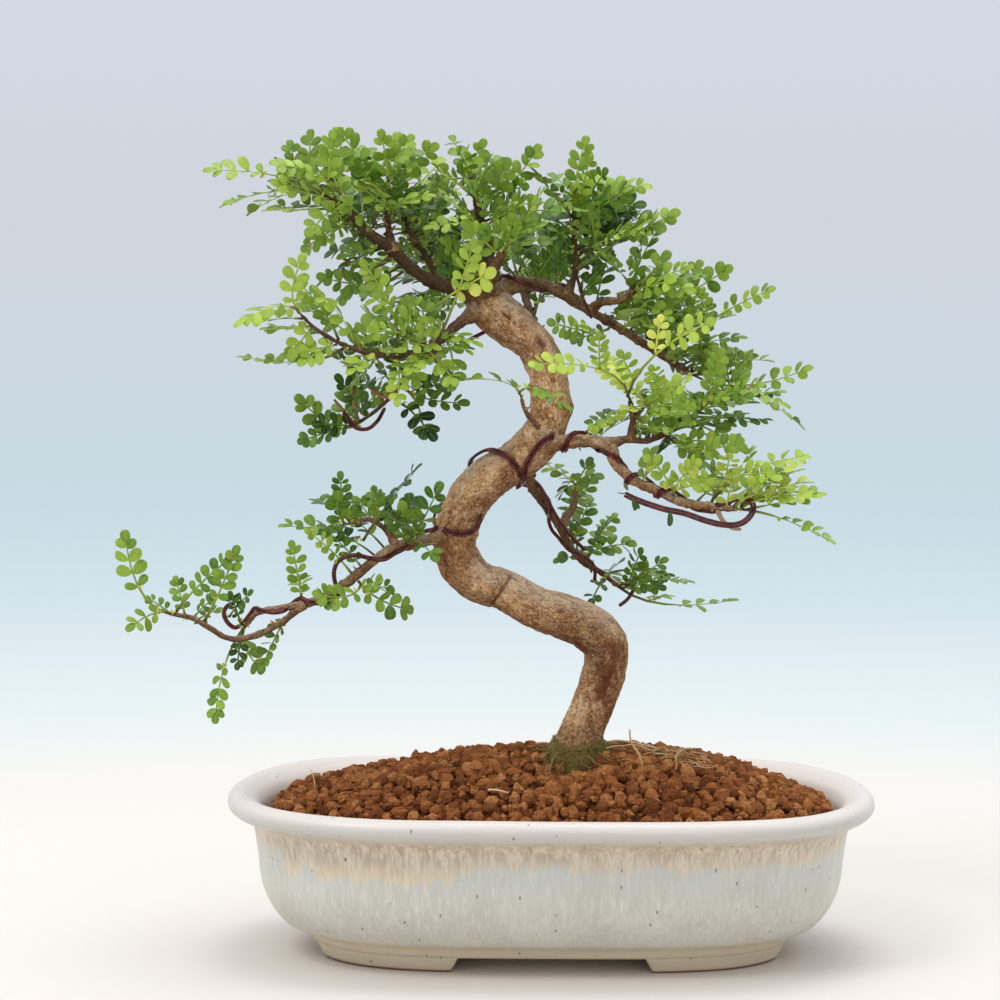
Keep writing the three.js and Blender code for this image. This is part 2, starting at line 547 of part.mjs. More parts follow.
// One pinnate leaf in a single arched blade, cut to the rib between its leaflets
function leafParts(course, face) {
  const stations = leafStations(course);
  const points = [];
  const triangles = [];
  const add = (p) => points.push(p.toArray()) - 1;
  const offset = (f, out, along, high) => f.centre.clone()
    .addScaledVector(f.across, out).addScaledVector(f.along, along).addScaledVector(f.upper, high);
  const rib = [0, ...stations].map((t) => {
    const f = leafFrame(course, face, t);
    return [
      add(offset(f, 0, 0, ribHalfHeight)), add(offset(f, ribHalfWidth, 0, 0)),
      add(offset(f, 0, 0, -ribHalfHeight)), add(offset(f, -ribHalfWidth, 0, 0)),
    ];
  });

  // Stalk
  for (let j = 0; j < 4; j += 1) {
    const k = (j + 1) % 4;
    triangles.push([rib[0][j], rib[0][k], rib[1][k]], [rib[0][j], rib[1][k], rib[1][j]]);
  }
  triangles.push([rib[0][0], rib[0][3], rib[0][2]], [rib[0][0], rib[0][2], rib[0][1]]);

  // A leaflet's upper face swells to a middle point, and its lower face fans from the rib
  const leaflet = (f, edge, middle, top, bottom) => {
    const high = add(offset(f, middle[0], middle[1], leafletRise + middle[2]));
    const upperLoop = [top[0], ...edge, ...top.slice(1)];
    const lowerLoop = [bottom[0], ...edge, ...bottom.slice(1)];
    for (let i = 0; i < upperLoop.length; i += 1) {
      const n = (i + 1) % upperLoop.length;
      triangles.push([high, upperLoop[i], upperLoop[n]]);
      if (i > 0 && n > 0) triangles.push([lowerLoop[0], lowerLoop[n], lowerLoop[i]]);
    }
  };
  const droop = (out) => -0.02 * out * out;
  for (let k = 1; k < rib.length - 1; k += 1) {
    const f = leafFrame(course, face, (stations[k - 1] + stations[k]) / 2);
    const pitch = (stations[k] - stations[k - 1]) * course.getLength();
    const shape = leafletOutline(Math.min(pitch * 0.42, leafletLength * 0.42), 0.3);
    const right = shape.map(([out, along]) => add(offset(f, out, along, droop(out))));
    leaflet(f, [rib[k][1], ...right, rib[k + 1][1]], [3.9, 1, droop(3.9)],
      [rib[k][0], rib[k + 1][0]], [rib[k][2], rib[k + 1][2]]);
    const left = shape.map(([out, along]) => add(offset(f, -out, along, droop(out)))).reverse();
    leaflet(f, [rib[k + 1][3], ...left, rib[k][3]], [-3.9, 1, droop(3.9)],
      [rib[k + 1][0], rib[k][0]], [rib[k + 1][2], rib[k][2]]);
  }

  // End leaflet
  const f = leafFrame(course, face, stations.at(-1));
  const end = rib.at(-1);
  const tipLength = leafletLength * 1.1;
  const tip = [[2.6, 0.38], [1.8, 0.9], [-1.8, 0.9], [-2.6, 0.38]]
    .map(([out, along]) => add(offset(f, out, along * tipLength, 0)));
  leaflet(f, [end[1], ...tip, end[3]], [0, tipLength * 0.5, 0], [end[0]], [end[2]]);
  return { points, triangles };
}

// Points spread over a leaf, used to keep it clear of everything else
function leafSamples(course, face) {
  const samples = [];
  const stations = leafStations(course);
  const length = course.getLength();
  for (let s = 0; s <= length; s += 2.5) samples.push(course.getPoint(s / length));
  for (let k = 1; k < stations.length; k += 1) {
    const f = leafFrame(course, face, (stations[k - 1] + stations[k]) / 2);
    for (const out of [-7, -4.4, -2.2, 2.2, 4.4, 7]) {
      for (const along of [-1.6, 1.2, 3.6]) {
        samples.push(f.centre.clone().addScaledVector(f.across, out).addScaledVector(f.along, along));
      }
    }
  }
  return samples;
}

// Solid things that a leaf must not touch, as points with a radius
const obstacles = [];

const wood = -1;
const wire = -2;

function addObstacle(kind, curve, radiusAt, step) {
  const count = Math.ceil(curve.getLength() / step);
  for (let i = 0; i <= count; i += 1) {
    const u = i / count;
    obstacles.push({ p: curve.getPointAt(u), r: radiusAt(u), spray: kind });
  }
}

function isClear(samples, root, spray) {
  for (const s of samples) {
    if (Math.abs(s.y) > potDepth / 2 - 2) return false;
    const nearRoot = s.distanceTo(root) < 7.5;
    for (const o of obstacles) {
      if (o.spray === spray || (nearRoot && o.spray === wood)) continue;
      const reach = o.spray < 0 ? o.r + (nearRoot ? 1.1 : 1.4) : leafClearance;
      if (Math.abs(s.x - o.p.x) < reach && s.distanceTo(o.p) < reach) return false;
    }
  }
  return true;
}

// Sideways and upward shifts that bend a leaf's tip clear, smallest first
const bends = [];
for (let dy = -36; dy <= 36; dy += 4) {
  for (let dz = -12; dz <= 12; dz += 4) bends.push([dy, dz]);
}
const bendCost = ([dy, dz]) => Math.abs(dy) + 2.2 * Math.abs(dz);
bends.sort((a, b) => bendCost(a) - bendCost(b) || a[0] - b[0] || a[1] - b[1]);

// A spray grows from a twig's tip or from the bark at its side
function layOutSpray([name, limb, place, tips], index) {
  const path = paths[limb];
  const base = path.curve.getPointAt(place);
  const mean = tips.reduce((sum, tip) => sum.add(vec(tip)), new THREE.Vector3()).divideScalar(tips.length);
  const direction = place === 1 ? path.curve.getTangentAt(1) : mean.clone().sub(base);
  if (place < 1) {
    const along = path.curve.getTangentAt(place);
    direction.addScaledVector(along, -0.85 * direction.dot(along));
  }
  direction.normalize();
  const clear = place === 1 ? seatGap : path.radiusAt(place) + 1.5 * seatGap;
  const root = base.clone().addScaledVector(direction, clear);
  const leaves = [];
  for (const [x, y, z, face] of tips) {
    let from = root;
    let leaving = direction;
    if (leaves.length > 0) {
      const stalk = leaves[0].course;
      const first = stalk.getPoint(leafStations(stalk)[0]);
      from = root.clone().lerp(first, (0.5 + 2 * leaves.length) / root.distanceTo(first));
      leaving = vec([x, y, z]).sub(from).normalize().add(direction).addScaledVector(up, 0.3).normalize();
    }
    for (const [dy, dz] of bends) {
      const course = leafCourse(from, leaving, new THREE.Vector3(x, y + dy, z + dz));
      const samples = leafSamples(course, face);
      if (!isClear(samples, root, index)) continue;
      leaves.push({ course, face });
      for (const p of samples) obstacles.push({ p, r: 0, spray: index });
      break;
    }
  }
  return { name, leaves };
}

for (const [name, path] of Object.entries(paths)) {
  addObstacle(wood, path.curve, name === 'trunk' ? (u) => path.radiusAt(u) * 1.06 : path.radiusAt, 2.5);
}
const wireCurves = Object.fromEntries(
  Object.entries(wires).map(([name, route]) => [name, wireCurve(route)]),
);
for (const curve of Object.values(wireCurves)) addObstacle(wire, curve, () => wireRadius, 1.5);
const laidOut = sprays.map(layOutSpray);

function makeTree() {
  let tree = trunkAndRoots(0);
  const wired = Object.values(wires).flat().map(([limb]) => limb);
  for (const [name, path] of Object.entries(paths)) {
    const step = wired.includes(name) ? wiredStep : branchStep;
    if (name !== 'trunk') tree = tree.add(limbSolid(path, branchSides, step, 0));
  }
  return tree;
}

function makeSpray({ leaves }) {
  return leaves
    .map(({ course, face }) => leafParts(course, face))
    .map(({ points, triangles }) => solidOf(points, triangles))
    .reduce((whole, leaf) => whole.add(leaf));
}

function material(color, roughness, metalness = 0) {
  return new THREE.MeshStandardMaterial({ color, roughness, metalness });
}

const glaze = material(0xd6d2c6, 0.35);
const clay = material(0x87472a, 0.95);
const bark = material(0xa88463, 0.85);
const foliage = material(0x6fa22b, 0.5);
const wireFinish = material(0x4a2426, 0.35, 0.8);
const screenPlastic = material(0x2c3a30, 0.7);

const tree = new THREE.Group();
tree.add(meshOf('pot', makePot(), glaze));
tree.add(meshOf('drain_screen_left', makeScreen(-1), screenPlastic));
tree.add(meshOf('drain_screen_right', makeScreen(1), screenPlastic));
tree.add(meshOf('soil', makeSoil(), clay));
tree.add(meshOf('tree', makeTree(), bark));
for (const [name, curve] of Object.entries(wireCurves)) tree.add(meshOf(name, makeWire(curve), wireFinish));
for (const spray of laidOut) tree.add(meshOf(`spray_${spray.name}`, makeSpray(spray), foliage));

// The origin is at the middle of the whole tree and pot, on the surface it stands on
const bonsai = new THREE.Group();
const bounds = new THREE.Box3().setFromObject(tree);
tree.position.set(-(bounds.min.x + bounds.max.x) / 2, -(bounds.min.y + bounds.max.y) / 2, 0);
bonsai.add(tree);

export default bonsai;
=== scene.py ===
import math

import bpy
import numpy as np
from mathutils import Matrix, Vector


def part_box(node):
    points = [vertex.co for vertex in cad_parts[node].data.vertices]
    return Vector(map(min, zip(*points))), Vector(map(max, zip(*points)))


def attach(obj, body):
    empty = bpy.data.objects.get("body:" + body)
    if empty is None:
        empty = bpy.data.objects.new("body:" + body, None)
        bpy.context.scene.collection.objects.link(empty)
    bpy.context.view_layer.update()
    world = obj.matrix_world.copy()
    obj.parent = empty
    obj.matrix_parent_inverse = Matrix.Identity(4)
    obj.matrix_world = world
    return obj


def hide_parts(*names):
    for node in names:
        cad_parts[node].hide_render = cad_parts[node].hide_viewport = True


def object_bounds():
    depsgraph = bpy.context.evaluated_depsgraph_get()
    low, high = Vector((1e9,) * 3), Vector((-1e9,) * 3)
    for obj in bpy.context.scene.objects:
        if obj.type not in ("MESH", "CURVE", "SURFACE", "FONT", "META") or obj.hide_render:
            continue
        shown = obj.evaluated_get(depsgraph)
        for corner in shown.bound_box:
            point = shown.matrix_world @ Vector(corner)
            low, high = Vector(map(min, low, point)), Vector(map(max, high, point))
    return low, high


# Japanese pepper bonsai in an oval glazed pot. Sizes are millimetres from the pot's centre,
# z = 0 under its feet, until a mesh is made.
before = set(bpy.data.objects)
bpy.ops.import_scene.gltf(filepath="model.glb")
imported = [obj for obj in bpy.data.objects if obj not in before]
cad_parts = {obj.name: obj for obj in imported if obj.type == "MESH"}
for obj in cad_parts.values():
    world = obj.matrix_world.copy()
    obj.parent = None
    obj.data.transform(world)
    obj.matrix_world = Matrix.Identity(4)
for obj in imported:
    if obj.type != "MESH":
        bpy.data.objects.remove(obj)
cadLow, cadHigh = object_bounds()
potLow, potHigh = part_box("pot")
potMiddle = np.array([(potLow.x + potHigh.x) / 2, (potLow.y + potHigh.y) / 2, 0.0])
scene = bpy.context.scene
print("frame loaded, pot middle at", potMiddle.round(5))


# Camera

cameraView = {
    "place": (-0.00055, -2.0, 0.402),
    "pitchDown": 4.31,
    "roll": 0.3,
    "lens": 130.12,
    "sensor": 36,
}


def placeCamera(view):
    data = bpy.data.cameras.new("bonsaiCamera")
    data.lens = view["lens"]
    data.sensor_width = view["sensor"]
    camera = bpy.data.objects.new("bonsaiCamera", data)
    tilt = Matrix.Rotation(math.radians(90 - view["pitchDown"]), 4, "X")
    roll = Matrix.Rotation(math.radians(view["roll"]), 4, "Z")
    camera.matrix_world = Matrix.Translation(view["place"]) @ tilt @ roll
    scene.collection.objects.link(camera)
    scene.camera = camera


placeCamera(cameraView)
scene.view_settings.view_transform = "Standard"
print("camera placed")


# Material maths

def colour(red, green, blue):
    # a screen colour from 0 to 255, as the light it stands for
    share = np.array([red, green, blue]) / 255
    light = np.where(share <= 0.04045, share / 12.92, ((share + 0.055) / 1.055) ** 2.4)
    return (*light.tolist(), 1.0)


# One value inside a material. Sums and products of values add their own Math nodes.
class Tone:
    def __init__(self, paint, socket):
        self.paint = paint
        self.socket = socket

    def sum(self, operation, first, second):
        return self.paint.add("Math", {"operation": operation}, {0: first, 1: second})

    def __add__(self, other):
        return self.sum("ADD", self, other)

    def __radd__(self, other):
        return self.sum("ADD", other, self)

    def __sub__(self, other):
        return self.sum("SUBTRACT", self, other)

    def __rsub__(self, other):
        return self.sum("SUBTRACT", other, self)

    def __mul__(self, other):
        return self.sum("MULTIPLY", self, other)


# A material, whose methods add its nodes and give back their outputs as Tones
class Paint:
    def __init__(self, name, **constants):
        self.material = bpy.data.materials.new(name)
        self.material.use_nodes = True
        self.tree = self.material.node_tree
        self.shader = self.tree.nodes["Principled BSDF"]
        for socket, value in constants.items():
            self.shader.inputs[socket.replace("_", " ")].default_value = value

    def add(self, kind, settings=None, inputs=None, output=0):
        node = self.tree.nodes.new("ShaderNode" + kind)
        for key, value in (settings or {}).items():
            if key == "stops":
                while len(node.color_ramp.elements) < len(value):
                    node.color_ramp.elements.new(1.0)
                for element, (position, tint) in zip(node.color_ramp.elements, value):
                    element.position = position
                    element.color = tint
            else:
                setattr(node, key, value)
        for key, value in (inputs or {}).items():
            self.feed(node.inputs[key], value)
        return Tone(self, node.outputs[output])

    def feed(self, socket, value):
        if isinstance(value, Tone):
            self.tree.links.new(value.socket, socket)
        else:
            socket.default_value = value

    def set(self, **inputs):
        for socket, value in inputs.items():
            self.feed(self.shader.inputs[socket.replace("_", " ")], value)

    def place(self):
        return self.add("TexCoord", output=3)

    def attribute(self, name, output=2):
        return self.add("Attribute", {"attribute_name": name}, output=output)

    def stretch(self, vector, scale):
        return self.add("Mapping", {}, {"Vector": vector, "Scale": scale})

    def parts(self, vector):
        node = self.tree.nodes.new("ShaderNodeSeparateXYZ")
        self.feed(node.inputs[0], vector)
        return [Tone(self, output) for output in node.outputs]

    def noise(self, vector, scale, detail, roughness, distortion=0.0):
        values = {"Vector": vector, "Scale": scale, "Detail": detail, "Roughness": roughness}
        return self.add("TexNoise", {}, {**values, "Distortion": distortion})

    def cells(self, vector, scale, output=0):
        return self.add("TexVoronoi", {}, {"Vector": vector, "Scale": scale}, output)

    def mask(self, value, low, high):
        ends = {"Value": value, "From Min": low, "From Max": high}
        return self.add("MapRange", {"interpolation_type": "SMOOTHSTEP"}, ends)

    def mix(self, factor, first, second):
        return self.add("Mix", {"data_type": "RGBA"}, {0: factor, 6: first, 7: second}, output=2)

    def ramp(self, value, *stops):
        return self.add("ValToRGB", {"stops": stops}, {"Fac": value})

    def bump(self, height, distance, strength):
        return self.add("Bump", {}, {"Height": height, "Distance": distance, "Strength": strength})


# Shapes

def unit(vectors):
    return vectors / np.maximum(np.linalg.norm(vectors, axis=-1, keepdims=True), 1e-12)


def squareTo(vectors, alongs):
    # the part of each vector that is square to its own direction
    return unit(vectors - alongs * np.sum(vectors * alongs, axis=1, keepdims=True))


def circle(count):
    return np.linspace(0, 2 * np.pi, count, endpoint=False)


def toMillimetres(place):
    return (np.array(place) - potMiddle) * 1000


def softNoise(points, seed):
    # random values at the corners of a unit lattice, from the fraction of a large sine of the
    # corner's place, blended between the corners by 3f^2 - 2f^3 along each axis, -1 to 1
    cell = np.floor(points)
    part = points - cell
    part = part * part * (3 - 2 * part)
    total = np.zeros(points.shape[:-1])
    for corner in np.ndindex(2, 2, 2):
        at = cell + np.array(corner)
        wave = np.sin(at @ np.array([12.9898, 78.233, 37.719]) + seed * 17.13) * 43758.5453
        weight = np.prod(np.where(np.array(corner) == 1, part, 1 - part), axis=-1)
        total += weight * (2 * (wave - np.floor(wave)) - 1)
    return total


def layeredNoise(points, seed, layers=3):
    # the sum of soft noises, each at twice the scale and half the height of the one before
    return sum(softNoise(points * 2.0 ** k, seed + k) * 0.5 ** k for k in range(layers))


# Points, faces and per-point values of a piece that is still being put together
class Shape:
    def __init__(self):
        self.points = []
        self.faces = []
        self.values = {}
        self.count = 0

    def add(self, points, faces, **values):
        points = np.asarray(points, float).reshape(-1, 3)
        self.points.append(points)
        self.faces.extend(part + self.count for part in faces)
        for name, value in values.items():
            value = np.asarray(value, float)
            full = (len(points), 3) if value.shape[-1:] == (3,) and value.ndim > 1 else (len(points),)
            self.values.setdefault(name, []).append(np.broadcast_to(value, full))
        self.count += len(points)

    def make(self, name, material, slot=None, smooth=True, sharp=None):
        mesh = bpy.data.meshes.new(name)
        points = np.concatenate(self.points) * 0.001 + potMiddle
        corners = np.concatenate([part.ravel() for part in self.faces])
        sizes = np.concatenate([np.full(len(part), part.shape[1]) for part in self.faces])
        mesh.vertices.add(len(points))
        mesh.vertices.foreach_set("co", points.ravel())
        mesh.loops.add(len(corners))
        mesh.loops.foreach_set("vertex_index", corners.astype(np.int32))
        mesh.polygons.add(len(sizes))
        starts = np.concatenate([[0], np.cumsum(sizes)[:-1]])
        mesh.polygons.foreach_set("loop_start", starts.astype(np.int32))
        mesh.polygons.foreach_set("use_smooth", np.full(len(sizes), smooth))
        mesh.update(calc_edges=True)
        for key, parts in self.values.items():
            value = np.concatenate(parts)
            kind, field = ("FLOAT_VECTOR", "vector") if value.ndim > 1 else ("FLOAT", "value")
            mesh.attributes.new(key, kind, "POINT").data.foreach_set(field, value.ravel())
        if sharp is not None:
            ends = np.zeros(len(mesh.edges) * 2, np.int32)
            mesh.edges.foreach_get("vertices", ends)
            edges = sharp[ends.reshape(-1, 2)].all(axis=1)
            mesh.attributes.new("sharp_edge", "BOOLEAN", "EDGE").data.foreach_set("value", edges)
        mesh.materials.append(material)
        piece = bpy.data.objects.new(name, mesh)
        scene.collection.objects.link(piece)
        if slot is not None:
            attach(piece, "root")
        return piece


def ringFaces(rings, sides, poles=0):
    # faces between neighbouring rings of equal length, numbered ring by ring; with two poles,
    # fans from the point after the last ring to the first ring, and from the next to the last
    i = np.arange(rings - 1)[:, None] * sides
    j = np.arange(sides)[None, :]
    k = (j + 1) % sides
    faces = [np.stack([i + j, i + k, i + sides + k, i + sides + j], -1).reshape(-1, 4)]
    if poles:
        first = np.full(sides, rings * sides)
        last = (rings - 1) * sides
        faces.append(np.stack([first, k[0], j[0]], -1))
        faces.append(np.stack([first + 1, last + j[0], last + k[0]], -1))
    return faces


def ringSkin(grid, first, last):
    rings, sides = grid.shape[:2]
    points = np.concatenate([grid.reshape(-1, 3), [first], [last]])
    return points, ringFaces(rings, sides, poles=2)


def copies(faces, size, count):
    # the faces of one small form of so many points, for as many forms in a row
    number = np.arange(count)[:, None, None] * size
    return [(part[None] + number).reshape(-1, part.shape[1]) for part in faces]


# A smooth course through points [x, y, z, radius]. Each span is a cubic, and its slope at a point
# comes from the neighbouring points, weighed by the square roots of their distances.
class Course:
    def __init__(self, points, divisions=400):
        self.points = np.array(points, float)
        self.places = np.linspace(0, 1, divisions + 1)
        steps = np.linalg.norm(np.diff(self.at(self.places), axis=0), axis=1)
        self.lengths = np.concatenate([[0], np.cumsum(steps)])
        self.length = self.lengths[-1]

    def at(self, t):
        t = np.atleast_1d(np.asarray(t, float))
        p = self.points[:, :3]
        row = np.vstack([2 * p[0] - p[1], p, 2 * p[-1] - p[-2]])
        spans = len(p) - 1
        i = np.clip((t * spans).astype(int), 0, spans - 1)
        w = (t * spans - i)[:, None]
        before, start, end, after = row[i], row[i + 1], row[i + 2], row[i + 3]
        d0 = np.linalg.norm(start - before, axis=1)[:, None] ** 0.5
        d1 = np.linalg.norm(end - start, axis=1)[:, None] ** 0.5
        d2 = np.linalg.norm(after - end, axis=1)[:, None] ** 0.5
        leaving = ((start - before) / d0 - (end - before) / (d0 + d1) + (end - start) / d1) * d1
        arriving = ((end - start) / d1 - (after - start) / (d1 + d2) + (after - end) / d2) * d1
        square = 3 * (end - start) - 2 * leaving - arriving
        cube = 2 * (start - end) + leaving + arriving
        return start + leaving * w + square * w ** 2 + cube * w ** 3

    def even(self, u):
        return np.interp(np.atleast_1d(u) * self.length, self.lengths, self.places)

    def point(self, u):
        return self.at(self.even(u))

    def along(self, u):
        t = self.even(u)
        return unit(self.at(np.minimum(t + 1e-4, 1)) - self.at(np.maximum(t - 1e-4, 0)))

    def radius(self, u):
        row = self.points[:, 3]
        return np.interp(self.even(u), np.linspace(0, 1, len(row)), row)

    # two directions square to the course at each place, carried on with the least turn
    def square(self, u):
        alongs = self.along(u)
        side = np.cross(alongs[0], [0, 1, 0] if abs(alongs[0, 2]) > 0.9 else [0, 0, 1])
        sides = np.zeros_like(alongs)
        for i, along in enumerate(alongs):
            side = unit(side - along * (side @ along))
            sides[i] = side
        return sides, np.cross(alongs, sides)


def tube(course, u, radius, sides):
    # rings of points: centre + radius (cos a * side + sin a * other), with other = along x side
    side, other = course.square(u)
    a = circle(sides)
    out = np.cos(a)[None, :, None] * side[:, None] + np.sin(a)[None, :, None] * other[:, None]
    radius = np.broadcast_to(np.reshape(radius, (len(u), -1)), (len(u), sides))
    return course.point(u)[:, None] + radius[..., None] * out, out


def straightTube(shape, points, radius, sides, step, **values):
    # a thin stem through a few points, with radius as one number or as one for each point
    radii = np.broadcast_to(radius, len(points))
    course = Course(np.column_stack([np.array(points, float), radii]), 120)
    u = np.linspace(0, 1, max(3, int(course.length / step)))
    grid, _ = tube(course, u, course.radius(u), sides)
    skin, faces = ringSkin(grid, course.point(0)[0], course.point(1)[0])
    shape.add(skin, faces, **values)


# Pot

pot = {
    "length": 360, "depth": 240,
    "around": 264, "up": 104,
    "rimRise": 6, "floorTop": 17, "height": 90,
    "wall": [  # inset from the rim's plan outline, height
        (46.5, 8.5), (45.4, 11), (44.6, 13.2), (43.4, 14.2), (40.5, 14.7), (36, 16), (31, 18.5), (24, 27),
        (19, 39), (16.5, 57), (14.5, 69.5), (12.9, 73.4), (10, 75.9), (6, 77.4), (2.6, 79), (0.5, 81.4),
        (0, 84.3), (0.7, 87.2), (3.2, 89.4), (6.4, 90), (9.8, 89.1), (13, 87.3), (16.2, 84.8), (19, 81),
        (20.6, 76), (21.8, 70), (23, 62), (24.8, 49), (27, 36), (30, 27.5), (34, 22), (39.5, 18.4),
        (46, 17),
    ],
    "footTop": 9.6,
    "footSection": [  # inset, height, round the foot from its outer top to its inner top
        (46.3, 9.6), (47.4, 6.8), (48.6, 3.6), (49.5, 1.2), (50.1, 0.35), (51.2, 0), (56, 0), (61.8, 0),
        (62.7, 0.35), (63, 1.2), (62.2, 4.4), (61.1, 9.6), (55, 9.6),
    ],
    "frontGap": 50, "sideGap": 24, "gapFlare": 5,
    "drainRadius": 9, "drainOffset": 62, "drainCut": (4.0, 22.0), "drainSides": 48,
}


def planOutline(angle):
    # |x|^4 + y^2 = 1, flat along the sides and round at the ends
    c = np.cos(angle)
    return np.stack([np.sign(c) * np.sqrt(np.abs(c)), np.sin(angle)], -1)


def evenOutline(count):
    angle = np.linspace(0, 2 * np.pi, 2881)
    track = planOutline(angle)
    steps = np.hypot(*(np.diff(track, axis=0) * [pot["length"] / 2, pot["depth"] / 2]).T)
    length = np.concatenate([[0], np.cumsum(steps)])
    targets = np.linspace(0, length[-1], count, endpoint=False)
    return np.stack([np.interp(targets, length, track[:, 0]), np.interp(targets, length, track[:, 1])], -1)


def potSurface(plan, inset, z):
    # the plan outline drawn in by inset at height z; the fired rim lifts towards its back corners
    lift = pot["rimRise"] * np.clip((z - pot["floorTop"]) / (pot["height"] - pot["floorTop"]), 0, None) ** 3
    x = (pot["length"] / 2 - inset) * plan[..., 0]
    y = (pot["depth"] / 2 - inset) * plan[..., 1]
    rise = lift * plan[..., 0] ** 2 * np.clip(plan[..., 1], 0, None) ** 2
    return np.stack([x, y, z + rise], -1)


def makeGlaze():
    paint = Paint("celadonGlaze", Specular_IOR_Level=0.5)
    place = paint.place()
    x, y, z = paint.parts(place)
    inside = paint.attribute("inside")
    fine = paint.noise(paint.stretch(place, (1, 1, 0.05)), 620, 3, 0.65)
    streak = paint.noise(paint.stretch(place, (1, 1, 0.08)), 260, 3, 0.6)
    broad = paint.noise(paint.stretch(place, (1, 1, 0.2)), 22, 2, 0.5)
    cloud = paint.noise(place, 30, 4, 0.6)
    # the tan runs end at an uneven line, which hangs lowest on the left of the front
    front = paint.mask(y, 0.0, -0.04)
    leftRun = paint.mask(x, -0.004, -0.03) * paint.mask(x, -0.108, -0.094) * front
    endRun = paint.mask(x, -0.104, -0.110) * paint.mask(x, -0.119, -0.114) * front
    sunk = leftRun * 0.0100 + endRun * 0.012 + broad * 0.010 + streak * 0.020 + fine * 0.012
    over = z + sunk - 0.0838
    inBand = paint.mask(over, -0.0015, 0.0035) * (1 - inside)
    nearEnd = paint.mask(over, 0.011, 0.002) * (0.25 + leftRun * 0.6 + endRun * 0.7)
    grain = paint.mask(fine * 0.5 + streak * 0.5, 0.36, 0.62)
    mottle = paint.mask(fine * 0.35 + streak * 0.3 + cloud * 0.35, 0.38, 0.62)
    body = paint.mix(mottle, colour(198, 195, 181), colour(216, 212, 199))
    body = paint.mix(paint.mask(z, 0.034, 0.056) * cloud * 0.8, body, colour(198, 207, 206))
    body = paint.mix(paint.mask(fine, 0.60, 0.68) * 0.45, body, colour(232, 230, 222))
    tan = paint.mix(grain, colour(178, 157, 130), colour(224, 209, 186))
    band = paint.mix(nearEnd * (0.4 + fine * 0.6), tan, colour(233, 215, 180))
    strip = paint.mix(cloud, colour(196, 194, 188), colour(208, 201, 190))
    rim = paint.mix(cloud, colour(224, 214, 205), colour(216, 209, 202))
    base = paint.mix(cloud * 0.6 + streak * 0.4, colour(214, 200, 172), colour(228, 214, 188))
    inner = paint.mix(cloud * 0.5 + streak * 0.5, colour(186, 178, 166), colour(208, 194, 180))
    shade = paint.mix(inBand * (0.72 + fine * 0.3), body, band)
    shade = paint.mix(paint.mask(z + fine * 0.006, 0.0785, 0.0835), shade, strip)
    shade = paint.mix(inside, shade, inner)
    shade = paint.mix(paint.mask(z + cloud * 0.002, 0.0840, 0.0885), shade, rim)
    shade = paint.mix(paint.mask(z + streak * 0.005, 0.0225, 0.0155), shade, base)
    # a painted highlight: a light line along the ledge above the feet
    ledge = paint.mask(z, 0.0128, 0.0136) * paint.mask(z, 0.0156, 0.0148)
    shade = paint.mix(ledge * 0.6, shade, colour(226, 208, 178))
    bare = paint.mask(z + cloud * 0.0012, 0.0026, 0.0012)
    shade = paint.mix(bare, shade, colour(150, 104, 76))
    # iron specks of half to one and a half millimetres, drawn out a little downwards
    dots = paint.stretch(place, (1, 1, 0.5))
    chance = paint.parts(paint.cells(dots, 260, output=1))
    specks = paint.mask(paint.cells(dots, 260), 0.19, 0.12) * paint.mask(chance[0], 0.86, 0.88)
    bigChance = paint.parts(paint.cells(dots, 75, output=1))
    spots = paint.mask(paint.cells(dots, 75), 0.050, 0.028) * paint.mask(bigChance[1], 0.74, 0.76)
    dark = paint.add("Math", {"operation": "MAXIMUM"}, {0: specks * 0.7, 1: spots})
    shade = paint.mix(dark, shade, colour(92, 74, 64))
    low = paint.mask(z, 0.014, 0.009)
    rough = 0.26 + low * 0.3 + streak * 0.12 + bare * 0.2
    height = streak * 0.5 + cloud * 0.5 - dark * 0.8
    paint.set(Base_Color=shade, Roughness=rough, Normal=paint.bump(height, 0.0006, 0.3))
    return paint.material


def makePot():
    glaze = makeGlaze()
    profile = Course([(inset, z, 0, 1) for inset, z in pot["wall"]])
    inset, z, _ = profile.point(np.linspace(0, 1, pot["up"])).T
    grid = potSurface(evenOutline(pot["around"])[None], inset[:, None], z[:, None])
    # hand-thrown unevenness of a third of a millimetre
    grid[..., 2] += 0.3 * softNoise(grid / 45, 3) * np.clip((z[:, None] - 20) / 60, 0, 1)
    inside = np.clip((np.arange(pot["up"]) - np.argmax(z) - 2) / 6, 0, 1)
    shape = Shape()
    points, faces = ringSkin(grid, (0, 0, pot["wall"][0][1]), (0, 0, pot["floorTop"]))
    shape.add(points, faces, inside=np.concatenate([np.repeat(inside, pot["around"]), [0, 1]]))
    piece = shape.make("glazedPot", glaze, "glaze")
    cutter = Shape()
    a = circle(pot["drainSides"])
    for side in (-1, 1):
        x = side * pot["drainOffset"] + pot["drainRadius"] * np.cos(a)
        y = pot["drainRadius"] * np.sin(a)
        grid = np.stack([np.stack([x, y, np.full(len(a), z)], -1) for z in pot["drainCut"]])
        ends = [(side * pot["drainOffset"], 0, z) for z in pot["drainCut"]]
        points, faces = ringSkin(grid, *ends)
        cutter.add(points, faces)
    tool = cutter.make("drainCutter", glaze)
    cut = piece.modifiers.new("drains", "BOOLEAN")
    cut.operation = "DIFFERENCE"
    cut.object = tool
    whole = bpy.data.meshes.new_from_object(piece.evaluated_get(bpy.context.evaluated_depsgraph_get()))
    piece.modifiers.clear()
    piece.data = whole
    bpy.data.objects.remove(tool)
    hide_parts("pot")


